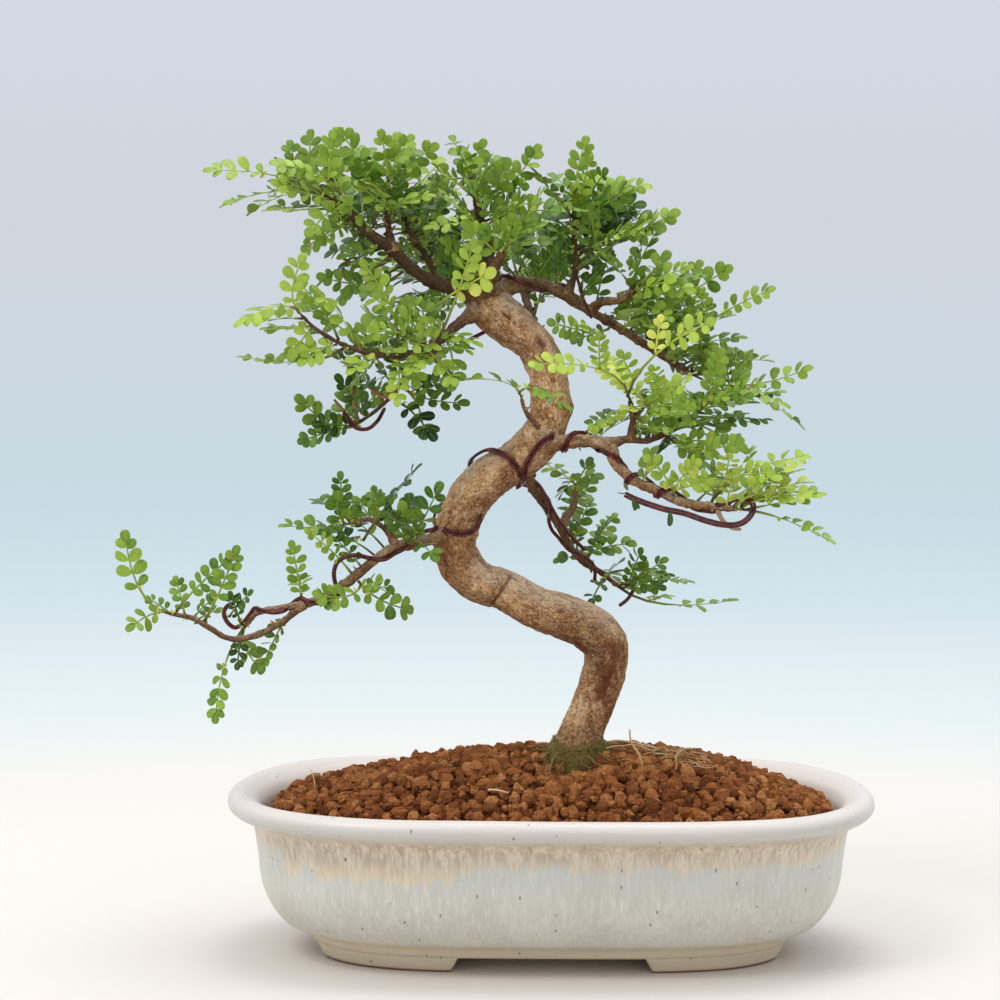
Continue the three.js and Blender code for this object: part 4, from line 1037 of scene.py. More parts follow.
def makeTintPaint(name, scale, share, stops, **constants):
    # colours over each thread's or blade's own tint, which fine specks stir
    paint = Paint(name, **constants)
    tint = paint.attribute("tint")
    speck = paint.noise(paint.place(), scale, 3, 0.6)
    paint.set(Base_Color=paint.ramp(tint * share + speck * (1 - share), *stops))
    return paint.material


def makeMossPaint():
    return makeTintPaint("driedMoss", 700, 0.7, [
        (0.1, colour(84, 60, 34)), (0.4, colour(118, 104, 54)), (0.65, colour(146, 144, 72)),
        (0.95, colour(196, 180, 120)),
    ], Specular_IOR_Level=0.15, Roughness=0.9)


def makeStrawPaint():
    return makeTintPaint("rootletStraw", 600, 0.8, [
        (0.1, colour(84, 62, 34)), (0.4, colour(134, 104, 62)), (0.7, colour(192, 158, 108)),
        (1.0, colour(236, 222, 198)),
    ], Specular_IOR_Level=0.25, Roughness=0.8)


def clumpPoint(a, t):
    # a place on the lump of moss and fine roots that hugs the trunk's foot, t = 0 at its top
    near, far = litter["clumpReach"]
    r = near + (far - near) * t ** 0.85
    x, y = litter["clumpMiddle"][0] + r * np.cos(a), litter["clumpMiddle"][1] + r * np.sin(a)
    ground = moundHeight(moundShare(x, y), x, y)
    z = ground - 3.5 * t + litter["clumpRise"] * (1 - t) ** 1.4
    place = np.stack([x, y, z], -1)
    bulge = 1.5 * layeredNoise(place / 5.2, 15) * np.sin(np.pi * np.clip(t * 0.85 + 0.15, 0, 1))
    return place + np.stack([np.cos(a), np.sin(a), 0.6 * np.ones_like(a)], -1) * bulge[..., None]


def makeLitter():
    rng = np.random.default_rng(litter["seed"])
    threads = Shape()

    def thread(run, radius, tint, wander=0.0):
        # a thread through a few points, shaken a little between them
        course = Course(np.column_stack([np.array(run, float), np.ones(len(run))]), 60)
        place = course.point(np.linspace(0, 1, max(4, int(course.length / 4))))
        place[1:] += rng.normal(0, wander, place[1:].shape) * [1, 1, 0.5]
        straightTube(threads, place, radius * np.linspace(1, 0.5, len(place)), 6, 1.2, tint=float(tint))

    for radius, run in litter["rootlets"]:
        thread(run, radius, rng.uniform(0.0, 0.4), 0.7)
    for radius, run in litter["straws"]:
        thread(run, radius, rng.uniform(0.6, 0.9), 0.35)
    for radius, run in litter["splinters"]:
        thread(run, radius, 0.95)
    # finer rootlets from the clump down into the grains
    footX, footY = soil["trunkFoot"]
    for _ in range(litter["hairRoots"]):
        a = math.radians(rng.uniform(175, 370))
        run = [clumpPoint(np.array(a), np.array(0.45))]
        for reach, rise in ((20, 1.4), (rng.uniform(23, 30), 0.2), (rng.uniform(30, 34), -2.5)):
            x, y = footX + reach * math.cos(a), footY + reach * math.sin(a)
            run.append((x, y, moundHeight(moundShare(x, y), x, y) + rise))
        thread(run, rng.uniform(0.3, 0.5), rng.uniform(0.0, 0.5), 0.9)
    # a tangle of dry rootlets on the mound, right of the trunk
    for _ in range(litter["tangle"]):
        x, y = rng.uniform(28, 92), rng.uniform(-30, 14)
        heading = rng.uniform(-0.9, 0.5)
        run = []
        for _ in range(4):
            x, y = x + 5 * math.cos(heading), y + 5 * math.sin(heading)
            heading += rng.normal(0, 0.6)
            run.append((x, y, moundHeight(moundShare(x, y), x, y) + rng.uniform(-0.2, 2.2)))
        thread(run, rng.uniform(0.3, 0.5), rng.uniform(0.3, 0.85), 0.5)
    threads.make("rootletsAndStraw", makeStrawPaint(), "bark")

    # the clump, and moss on it as small three-sided blades
    grid = clumpPoint(*np.meshgrid(circle(litter["clumpSides"]), np.linspace(0, 1, litter["clumpRings"])))
    moss = Shape()
    middle = litter["clumpMiddle"]
    ends = [(*middle, grid[-1, :, 2].min() - 2), (*middle, grid[0, :, 2].max())]
    points, faces = ringSkin(grid[::-1], *ends)
    moss.add(points, faces, tint=0.15 + 0.2 * softNoise(points / 2.3, 4) ** 2)
    count = litter["mossCount"]
    a, t = rng.uniform(0, 2 * np.pi, count), rng.uniform(0.0, 0.8, count)
    root = clumpPoint(a, t)
    keep = softNoise(root / 3.1, 9) > -0.25
    root, a = root[keep], a[keep]
    count = len(root)
    outward = np.column_stack([np.cos(a), np.sin(a), np.full(count, 0.8)])
    lean = unit(outward + rng.normal(0, 0.5, (count, 3)))
    side = unit(np.cross(lean, rng.normal(size=(count, 3))))
    other = np.cross(lean, side)
    high = rng.uniform(*litter["mossHigh"], count)[:, None]
    wide = rng.uniform(0.25, 0.5, count)[:, None]
    root = root - lean * 0.3
    blades = np.stack([
        root + side * wide, root - side * wide * 0.5 + other * wide * 0.87,
        root - side * wide * 0.5 - other * wide * 0.87, root + lean * high,
    ], axis=1)
    blade = np.array([[0, 2, 1], [0, 1, 3], [1, 2, 3], [2, 0, 3]])
    moss.add(blades, copies([blade], 4, count), tint=np.repeat(rng.uniform(0.2, 0.85, count), 4))
    moss.make("trunkFootMoss", makeMossPaint(), "leaf")
    print("litter made,", count, "blades of moss")


makeLitter()


# Training wire

wire = {
    "radius": 1.25, "gap": 0.12, "sides": 10, "knobs": 0.03,
    "coarseGap": 1.2, "coarseSteps": 7,  # of the plain courses, with steps for one turn
    "routes": {  # plain courses of the wires, which the leaves keep clear of
        "wire_low_left": [
            ("trunk", 0.522, 0.549, 0.7, 100), ("lowLeft", 0.092, 0.904, 5.85, -45),
            (-172, -33, 190), (-178, -35, 196), (-181, -36, 202), (-176, -37, 207),
        ],
        "wire_right": [
            ("trunk", 0.655, 0.678, 0.45, -115), (-12, -15, 266), (-6, -20, 274), (-3, -22, 282),
            ("rightMid", 0.081, 0.929, -3.8, 65),
            (100, -59, 246), (98, -62, 241), (88, -61, 241), (76, -60, 244), (62, -57, 248), (50, -54, 253),
        ],
        "wire_back": [
            (-44, 22, 260), (-32, 22, 263), ("backLow", 0.14, 0.893, 3.1, -135), (40, 62, 205),
            (36, 66, 198),
        ],
        "wire_crown": [
            (-20, 21, 350), (-21, 22, 360), ("crownRight", 0.159, 0.441, 1.5, 120), (24, 20, 352),
            (27, 17, 346),
        ],
    },
    # every wire as it lies: how many strands side by side, their radius, and its parts, which are
    # single points, or "over" a limb at marks [x, z, side]
    "strands": {
        "wire_low_left": [
            (1, 1.25, [
                (-52, 20, 243), (-60, 15, 240),
                ("over", "lowLeft", [
                    (-66, 237, 1), (-71, 234, 1), (-76, 231, 1), (-81, 226, -1), (-87, 223, -1),
                    (-93, 220, -1),
                    (-101, 221, -1),
                ]),
                (-108, -32, 223), (-114, -34, 222), (-118, -33, 219), (-120, -30, 213),
                ("over", "lowLeft", [
                    (-119, 206, 1), (-117, 202, 1), (-119, 199, -1), (-126, 197, -1), (-133, 198, -1),
                    (-138, 200, 1), (-143, 196, 1), (-147, 193, -1), (-153, 192, -1), (-159, 193, -1),
                    (-163, 194, 1), (-166, 190, 1),
                ]),
                (-170, -31, 185), (-174, -33, 183), (-178, -34, 186), (-180, -34, 191), (-178, -35, 195),
                (-174, -35, 197),
            ]),
            (2, 0.78, [("over", "trunk", [
                (-54, 250, 1), (-44, 248, 1), (-40, 241, -1), (-43, 235, -1), (-47, 233, -1),
                (-54, 233, -1),
                (-60, 235, -1), (-66, 239, -1), (-64, 246, 1), (-58, 249, 1),
            ])]),
        ],
        "wire_right": [
            (2, 0.82, [("over", "trunk", [
                (-36, 258, 1), (-44, 263, 1), (-46, 271, 1), (-44, 277, -1), (-37, 279, -1), (-29, 278, -1),
                (-22, 273, -1), (-18, 266, -1), (-17, 260, -1), (-20, 257, 1),
            ])]),
            (2, 0.82, [
                ("over", "trunk", [
                    (-22, 260, 1), (-17, 260, 1), (-16, 264, -1), (-15, 271, -1), (-11, 279, -1),
                    (-6, 285, -1),
                    (-1, 288, -1),
                ]),
                ("over", "rightMid", [
                    (1, 289, 1), (5, 287, 1), (7, 281, 1), (6, 278, -1), (7, 284, -1), (11, 290, -1),
                    (16, 290, 1), (22, 287, 1), (24, 281, 1), (26, 279, -1), (31, 279, -1), (36, 276, -1),
                    (39, 272, 1), (40, 266, 1), (39, 263, -1), (41, 267, -1), (46, 269, -1), (52, 267, 1),
                    (55, 261, 1), (55, 255, -1), (58, 260, -1), (63, 262, -1), (68, 258, 1), (76, 251, 1),
                    (83, 248, 1), (87, 249, -1), (89, 254, -1), (94, 257, -1),
                ]),
                (101, -53, 258), (107, -56, 254), (107, -57, 250), (103, -58, 245), (98, -59, 243),
                (91, -59, 243),
                (82, -59, 245), (70, -58, 249), (60, -58, 251), (50, -57, 254), (42, -56, 257),
                (38, -56, 259),
            ]),
        ],
        "wire_back": [
            (1, 1.05, [
                (-24, 15, 263), (-16, 10, 265), (-11, 9, 262), (-7, 12, 258), (-3, 16, 251), (0, 20, 245),
                (4, 26, 238), (9, 33, 231), (13, 38, 226), (16, 39, 223), (19, 40, 220),
            ]),
            (1, 1.05, [
                (-22, 18, 260), (-12, 20, 257), (-6, 22, 254), (-2, 19, 250), (-1, 21, 244), (-2, 28, 239),
                (0, 35, 232), (4, 39, 227), (7, 41, 223), (10, 40, 220), (15, 41, 218), (20, 43, 215),
                (24, 46, 211), (25, 47, 206), (25, 49, 202), (27, 50, 200), (31, 52, 202),
            ]),
            (1, 1.05, [(39, 57, 200), (47, 56, 197), (44, 54, 191), (39, 53, 187)]),
        ],
        "wire_crown": [
            (1, 1.2, [
                (-31, 20, 366), (-30, 19, 373),
                ("over", "crownRight", [(-25, 375, -1), (-18, 372, -1), (-12, 369, -1), (-6, 367, -1)]),
                ("over", "crownRight", [(1, 370, 1), (7, 371, 1)]),
            ]),
            (1, 0.85, [(12, 24, 378), (14, 15, 371), (16, 13, 364), (19, 12, 357), (21, 17, 352)]),
            (1, 1.1, [
                (-94, 16, 301), (-98, 8, 294), (-103, 9, 290), (-109, 10, 290), (-113, 12, 293),
                (-117, 12, 299),
            ]),
            (1, 1.1, [(-38, 20, 344), (-44, 19, 341), (-52, 15, 337)]),
        ],
    },
}


def woodRows(names, start=0.0, end=1.0, step=2.0):
    # points along the limbs, as x, y, z, radius
    rows = []
    for name in names:
        course = courses[name]
        u = np.linspace(start, end, max(4, int(course.length * (end - start) / step)))
        rows.append(np.column_stack([course.point(u), course.radius(u)]))
    return np.concatenate(rows)


def bandPoints(limb, marks, radius):
    # a wire over the bark: each mark is x, z in the front view and a side, -1 before the limb and
    # 1 behind it, and the depth follows from reach^2 = off^2 + depth^2 round the limb's middle
    course = courses[limb]
    middle = course.point(np.linspace(0, 1, 400))
    limbRadius = course.radius(np.linspace(0, 1, 400))
    rows = []
    for x, z, side in marks:
        away = np.hypot(middle[:, 0] - x, middle[:, 2] - z)
        near = np.argmin(away)
        reach = limbRadius[near] * (1 + wire["knobs"]) + radius + wire["gap"]
        pull = min(1.0, reach / max(away[near], 1e-6))
        offX, offZ = (x - middle[near, 0]) * pull, (z - middle[near, 2]) * pull
        depth = math.sqrt(max(reach ** 2 - offX ** 2 - offZ ** 2, 0.0))
        rows.append([middle[near, 0] + offX, middle[near, 1] + side * depth, middle[near, 2] + offZ])
    return np.array(rows)


def strandCourse(parts, radius):
    rows = []
    for part in parts:
        if isinstance(part[0], str):
            rows.append(bandPoints(part[1], part[2], radius))
        else:
            rows.append(np.array([part], float))
    points = np.concatenate(rows)
    return Course(np.column_stack([points, np.full(len(points), radius)]), 1600)


def besideCourse(course, shift, radius, wood):
    # the course moved sideways along the bark it lies on; a free run has the front for its bark
    u = np.linspace(0, 1, int(course.length / 1.4))
    points = course.point(u)
    away = np.linalg.norm(points[:, None] - wood[None, :, :3], axis=2) - wood[None, :, 3]
    near = wood[np.argmin(away, axis=1)]
    free = np.clip((away.min(axis=1) - radius - 1) / 3, 0, 1)[:, None]
    out = unit(unit(points - near[:, :3]) * (1 - free) + np.array([0, -1, 0]) * free)
    across = np.cross(course.along(u), out)
    for _ in range(3):
        across[1:-1] = (across[:-2] + across[1:-1] + across[2:]) / 3
    moved = points + unit(across) * shift
    # back on to the bark where the move sank it
    offset = moved - near[:, :3]
    gap = np.linalg.norm(offset, axis=1)
    least = np.minimum(near[:, 3] + radius, np.linalg.norm(points - near[:, :3], axis=1))
    moved = near[:, :3] + offset * np.maximum(1, least / gap)[:, None]
    return Course(np.column_stack([moved, np.full(len(moved), radius)]), 1600)


def makeWirePaint():
    paint = Paint("annealedWire", Metallic=0.6)
    place = paint.place()
    wear = paint.noise(place, 320, 3, 0.6)
    scratch = paint.noise(paint.stretch(place, (1, 1, 3)), 900, 2, 0.5)
    shade = paint.mix(paint.mask(wear, 0.38, 0.66), colour(78, 32, 31), colour(112, 56, 51))
    shade = paint.mix(paint.mask(scratch, 0.66, 0.76) * 0.35, shade, colour(142, 84, 76))
    paint.set(Base_Color=shade, Roughness=0.24 + wear * 0.12, Normal=paint.bump(scratch, 0.0002, 0.4))
    return paint.material


def coilPoints(limb, start, end, turns, degrees):
    # a helix round a limb: centre + (limb radius + wire radius + gap) at a steadily turning angle
    course = courses[limb]
    count = max(4, round(abs(turns) * wire["coarseSteps"]))
    share = np.linspace(0, 1, count + 1)
    u = start + (end - start) * share
    side, other = course.square(u)
    a = np.radians(degrees) + turns * 2 * np.pi * share
    swell = 1 + wire["knobs"] if limb == "trunk" else 1.04
    radius = course.radius(u) * swell + wire["radius"] + wire["coarseGap"]
    return course.point(u) + radius[:, None] * (np.cos(a)[:, None] * side + np.sin(a)[:, None] * other)


def wireCourse(route):
    rows = []
    for stretch in route:
        if isinstance(stretch[0], str):
            rows.append(coilPoints(*stretch))
        else:
            rows.append(np.array([stretch], float))
    points = np.concatenate(rows)
    return Course(np.column_stack([points, np.full(len(points), wire["radius"])]), 1200)


def wireTube(shape, course, radius):
    u = np.linspace(0, 1, int(course.length / 0.9))
    radii = np.full(len(u), float(radius))
    radii[[0, -1]] *= 0.8
    grid, _ = tube(course, u, radii, wire["sides"])
    points, faces = ringSkin(grid, course.point(0)[0], course.point(1)[0])
    shape.add(points, faces)


def makeWires():
    paint = makeWirePaint()
    wood = woodRows(list(limbs), step=1.2)
    for name, strands in wire["strands"].items():
        shape = Shape()
        for count, radius, parts in strands:
            course = strandCourse(parts, radius)
            if count == 1:
                wireTube(shape, course, radius)
            else:
                for side in (-1.03, 1.03):
                    wireTube(shape, besideCourse(course, side * radius, radius, wood), radius)
        piece = shape.make("fine_" + name, paint, "wire")
        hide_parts(name)


makeWires()
print("wires made")


# Foliage

foliage = {
    "leafletLength": 7.4, "pitch": 8.6,  # the plain leaf's own sizes, which set its clearances
    "clearance": 3.1, "woodClearance": 1.4, "rootClearance": 1.1, "rootZone": 7.5,
    "bladeLength": 31, "pairSpacing": 5.0, "leafletSize": 7.0, "leafletWide": 0.68,
    "ribHalfWidth": 0.6, "ribHalfHeight": 0.3,
    "thicketTries": 24, "sideTries": 10, "boxMargin": 3, "lowestLeaf": 100,
    "extra": [  # single leaves the photograph shows: spray, root, tip, face, age, size
        ("low_up_end", (-104, -33, 231), (-73, -44, 273), 0.25, 0.85, 1.0),
        ("tip_end", (-206, -47, 192), (-174, -58, 224), 0.85, 0.5, 1.0),
        ("tip_end", (-200, -46, 190), (-206, -40, 211), 0.7, 0.45, 0.72),
        ("tip_end", (-207, -47, 191), (-222, -40, 200), 0.5, 0.5, 0.7),
        ("tip_up", (-196, -44, 189), (-184, -50, 201), 0.6, 0.55, 0.68),
        ("tip_up", (-194, -44, 188), (-181, -40, 194), 0.4, 0.5, 0.66),
        ("low_end", (-177, -34, 189), (-164, -46, 204), 0.6, 0.6, 0.75),
        ("low_end", (-171, -34, 186), (-176, -44, 203), 0.6, 0.7, 0.7),
        ("low_end", (-170, -33, 182), (-172, -44, 162), 0.4, 0.9, 0.7),
        ("low_under", (-143, -31, 193), (-159, -42, 161), 0.3, 0.55, 0.9),
        ("low_mid", (-128, -34, 204), (-122, -52, 196), 0.7, 0.65, 0.85),
        ("back_end", (46, 56, 198), (66, 62, 213), 0.55, 0.6, 0.9),
        ("back_end", (40, 52, 200), (64, 44, 198), 0.6, 0.7, 0.9),
        ("back_mid", (30, 46, 203), (22, 30, 190), 0.7, 0.75, 0.95),
        ("hook_side", (-84, 6, 304), (-66, -10, 286), 0.7, 0.95, 1.15),
        ("left_inner", (-72, -14, 352), (-34, -52, 378), 0.85, 0.1, 1.35),
    ],
    "dried": [  # place, direction and length of single dried leaflets
        (40, -56, 261, -0.6, -0.1, 0.8, 5), (39, -57, 260, -0.9, 0.1, -0.3, 5),
        (42, -58, 257, 0.4, -0.1, -1, 7),
        (43, -58, 255, 0.9, 0.1, -0.9, 5), (62, -59, 250, 0.15, -0.1, -1, 8),
    ],
    "seed": 23,
}

# Leaf sprays as (name, limb, place along it, leaf tips), each tip as (x, y, z, face), where face
# turns a leaf's blade from lying flat, 0, to facing the front, 1
sprays = [
    ("crown_left_end", "crownLeft", 1, [(-189, -36, 432, 0.4), (-182, -20, 413, 0.1),
    (-168, -4, 409, 0.15)]),
    ("crown_left_top", "crownLeft", 0.93, [(-127, -24, 443, 0.8), (-153, -42, 436, 0.5)]),
    ("crown_left_under", "crownLeft", 0.85, [(-129, -24, 393, 0.7), (-139, 2, 389, 0.8)]),
    ("crown_left_back", "crownLeft", 0.72, [(-120, -6, 456, 0.9)]),
    ("crown_left_low", "crownLeft", 0.45, [(-129, -14, 375, 0.8)]),
    ("riser_a_top", "riserA", 1, [(-96, -10, 454, 0.6), (-79, 12, 452, 0.9), (-113, 26, 445, 0.5)]),
    ("riser_a_front", "riserA", 0.55, [(-99, -42, 425, 0.4), (-69, -38, 419, 0.4)]),
    ("riser_b_top", "riserB", 1, [(-66, 26, 447, 0.8), (-88, 40, 454, 0.8)]),
    ("leader_top", "leader", 1, [(-39, 4, 449, 0.9), (-53, -16, 444, 0.8)]),
    ("leader_front", "leader", 0.6, [(-62, -46, 422, 0.4), (-19, -42, 414, 0.4)]),
    ("leader_right", "leader", 0.82, [(-9, 18, 447, 0.8)]),
    ("riser_r_top", "rightRiser", 1, [(18, 34, 452, 0.9), (53, 24, 425, 0.5), (27, 62, 432, 0.5)]),
    ("riser_r_side", "rightRiser", 0.55, [(68, 12, 411, 0.7), (37, -14, 400, 0.6)]),
    ("spike_shoot", "deadSpike", 1, [(-24, -40, 413, 0.6), (-8, -46, 403, 0.4)]),
    ("stub_end", "rightStub", 1, [(63, 12, 388, 0.8), (76, -8, 367, 0.6)]),
    ("crown_right_front", "crownRight", 0.6, [(-3, -34, 351, 0.9)]),
    ("crown_right_up", "crownRight", 0.76, [(98, 18, 380, 0.8), (83, 40, 383, 0.8)]),
    ("crown_right_out", "crownRight", 0.9, [(121, 4, 369, 0.6)]),
    ("crown_right_end", "crownRight", 1, [(143, 16, 325, 0.5), (103, -12, 334, 0.8)]),
    ("right_up_end", "rightUp", 1, [(128, -18, 305, 0.2), (139, 6, 292, 0.2)]),
    ("right_up_over", "rightUp", 0.8, [(91, -36, 336, 0.8), (112, -46, 318, 0.5)]),
    ("right_up_mid", "rightUp", 0.5, [(101, -52, 288, 0.8), (83, -12, 272, 0.6)]),
    ("twig_end", "rightTwig", 1, [(-13, -66, 329, 0.5), (83, -78, 353, 0.8)]),
    ("twig_side", "rightTwig", 0.55, [(25, -12, 327, 0.7), (71, -80, 322, 0.7)]),
    ("right_end", "rightMid", 1, [(150, -62, 234, 0.2), (146, -46, 259, 0.3)]),
    ("right_over", "rightMid", 0.88, [(116, -74, 272, 0.8), (139, -28, 278, 0.4)]),
    ("right_low", "rightMid", 0.72, [(77, -76, 278, 0.8), (49, -62, 279, 0.8)]),
    ("back_end", "backLow", 1, [(106, 62, 190, 0.2), (66, 80, 204, 0.7)]),
    ("back_mid", "backLow", 0.78, [(48, 72, 221, 0.6), (3, 56, 212, 0.4)]),
    ("back_twig_end", "backTwig", 1, [(28, 46, 261, 0.5), (5, 62, 248, 0.4)]),
    ("low_end", "lowLeft", 1, [(-185, -30, 131, 0.2), (-160, -14, 157, 0.7)]),
    ("low_mid", "lowLeft", 0.74, [(-139, -22, 210, 0.5)]),
    ("low_under", "lowLeft", 0.5, [(-78, -12, 191, 0.8), (-129, -46, 204, 0.7)]),
    ("low_over", "lowLeft", 0.25, [(-62, -34, 262, 0.6), (-64, -46, 222, 0.4)]),
    ("low_up_end", "lowUp", 1, [(-149, -32, 239, 0.3), (-117, -40, 257, 0.9)]),
    ("tip_end", "lowTip", 1, [(-232, -52, 236, 0.8), (-229, -62, 185, 0.7)]),
    ("tip_up", "lowTip", 0.78, [(-171, -60, 229, 0.9)]),
    ("left_end", "leftMid", 1, [(-136, -46, 386, 0.9), (-171, -56, 349, 0.3)]),
    ("left_out", "leftMid", 0.74, [(-172, -22, 331, 0.15)]),
    ("left_front", "leftMid", 0.5, [(-104, -54, 383, 0.9), (-73, -58, 363, 0.6)]),
    ("left_inner", "leftMid", 0.3, [(-44, -54, 395, 0.9), (-41, -30, 338, 0.2)]),
    ("hook_side", "leftHook", 0.5, [(-48, 4, 305, 0.6), (-72, 14, 285, 0.8)]),
    ("hook_end", "leftHook", 1, [(-142, 12, 307, 0.8), (-113, 40, 313, 0.7)]),
    ("trunk_twig_end", "trunkTwig", 1, [(-46, -44, 320, 0.15), (8, -58, 305, 0.15)]),
    ("back_crown_end", "backCrown", 1, [(-30, 112, 420, 0.4), (8, 108, 416, 0.3)]),
    ("back_crown_side", "backCrown", 0.64, [(27, 84, 389, 0.3), (-38, 92, 401, 0.3)]),
    ("back_left_end", "backLeft", 1, [(-89, 106, 410, 0.5), (-65, 88, 429, 0.5), (-102, 92, 382, 0.4)]),
    ("back_left_side", "backLeft", 0.6, [(-76, 96, 360, 0.3)]),
]

# How old a spray's leaves look, from fresh yellow-green, 0, to dark green, 1
sprayAge = {
    "left_inner": 0.3, "left_front": 0.35, "twig_end": 0.05, "twig_side": 0.1, "right_low": 0.1,
    "right_over": 0.2, "right_end": 0.24, "tip_end": 0.5, "tip_up": 0.52, "left_end": 0.2, "left_out": 0.35,
    "crown_left_under": 0.45, "crown_left_low": 0.55, "hook_side": 0.8, "hook_end": 0.55,
    "low_over": 0.75, "low_up_end": 0.55, "low_under": 0.5, "low_mid": 0.5, "low_end": 0.5,
    "back_end": 0.6, "back_mid": 0.68, "back_twig_end": 0.62, "crown_right_front": 0.5,
    "trunk_twig_end": 0.5, "riser_b_top": 0.4, "stub_end": 0.4, "crown_right_up": 0.35,
}

# The most side leaves that one leaf's stalk bears, where it is not two
sideLeaves = {
    "trunk_twig_end": 0, "low_end": 0, "tip_end": 0, "tip_up": 0, "low_mid": 1, "back_end": 1,
    "left_out": 0,
    "crown_left_end": 1, "right_end": 0, "back_mid": 1, "low_up_end": 1, "back_twig_end": 1, "left_end": 0,
}

# Limbs that show between the leaves, as shares of their length
openLimbs = {
    "trunk": (0.0, 0.97), "crownLeft": (0.0, 0.72), "leader": (0.0, 0.35), "deadSpike": (0.0, 1.0),
    "crownRight": (0.0, 1.0), "rightStub": (0.0, 1.0), "rightRiser": (0.2, 0.75), "riserB": (0.1, 0.7),
    "rightMid": (0.0, 1.0), "rightUp": (0.0, 0.2), "lowLeft": (0.0, 1.0), "lowTip": (0.0, 1.0),
    "lowUp": (0.2, 0.8), "leftHook": (0.85, 1.0), "leftMid": (0.72, 0.95), "backLow": (0.0, 0.95),
    "backTwig": (0.0, 1.0), "trunkTwig": (0.0, 0.8),
}

# Thickets of leaves as (outline in the front view, nearest and farthest y, leaves, age, face, the
# way the leaves lean, limbs)
thickets = {
    "crownLeft": (
        [
            (-190, 432), (-173, 429), (-140, 437), (-123, 454), (-100, 455), (-63, 444), (-52, 430),
            (-50, 405), (-58, 384), (-84, 378), (-107, 382), (-125, 385), (-142, 397), (-132, 410),
            (-156, 410),
            (-180, 418),
        ],
        (-44, 56), 46, 0.50, 0.36, (-0.9, -0.2, 0.2), ["crownLeft", "riserA", "riserB"],
    ),
    "crownTop": (
        [
            (-70, 444), (-41, 440), (-24, 449), (-4, 440), (6, 424), (0, 400), (-10, 382), (-29, 389),
            (-48, 383),
            (-66, 388), (-74, 410),
        ],
        (-45, 62), 46, 0.50, 0.42,
        (0.1, -0.2, 0.7), ["leader", "riserB", "rightRiser", "deadSpike", "backLeft"],
    ),
    "crownRight": (
        [
            (-6, 438), (12, 450), (20, 444), (18, 430), (52, 428), (48, 418), (67, 414), (62, 405),
            (38, 398),
            (30, 384), (24, 370), (6, 372), (-12, 380),
        ],
        (-30, 62), 34, 0.52, 0.36, (0.9, -0.1, 0.2), ["rightRiser", "rightStub", "crownRight"],
    ),
    "leftMiddle": (
        [
            (-172, 350), (-139, 352), (-144, 384), (-128, 387), (-106, 383), (-73, 371), (-56, 388),
            (-46, 366),
            (-56, 341), (-48, 330), (-56, 307), (-67, 296), (-87, 301), (-105, 310), (-130, 316),
            (-124, 326),
            (-168, 331), (-139, 337),
        ],
        (-52, 36), 50, 0.44, 0.28, (-0.95, -0.3, 0.15), ["leftMid", "leftHook", "crownLeft"],
    ),
    "rightUpper": (
        [
            (30, 362), (38, 384), (80, 384), (116, 372), (110, 350), (134, 331), (112, 318), (76, 320),
            (44, 340),
        ],
        (-16, 58), 32, 0.46, 0.30, (0.95, -0.1, 0.15), ["crownRight", "rightStub"],
    ),
    "rightLower": (
        [
            (28, 326), (70, 330), (112, 322), (128, 300), (106, 288), (136, 278), (148, 258), (112, 255),
            (84, 264), (64, 273), (46, 292), (26, 302),
        ],
        (-74, 14), 38, 0.36, 0.26, (0.95, -0.2, 0.1), ["rightMid", "rightUp", "rightTwig"],
    ),
    "lowLeft": (
        [
            (-144, 236), (-138, 252), (-116, 258), (-95, 262), (-84, 252), (-62, 260), (-59, 238),
            (-83, 228),
            (-100, 236), (-122, 232),
        ],
        (-46, 14), 14, 0.48, 0.45, (-0.5, -0.2, 0.7), ["lowLeft", "lowUp"],
    ),
    "backLow": (
        [
            (6, 259), (28, 262), (28, 248), (14, 238), (50, 229), (34, 222), (62, 212), (84, 200),
            (62, 186),
            (36, 186), (22, 204),
        ],
        (36, 80), 8, 0.50, 0.34, (0.9, 0.1, 0.1), ["backLow", "backTwig"],
    ),
    "behind": (
        [(-104, 440), (-60, 446), (-20, 440), (20, 424), (26, 396), (-10, 376), (-60, 366), (-108, 376)],
        (44, 112), 42, 0.5, 0.45, (0.0, 0.9, 0.3), ["backCrown", "backLeft", "riserB"],
    ),
}


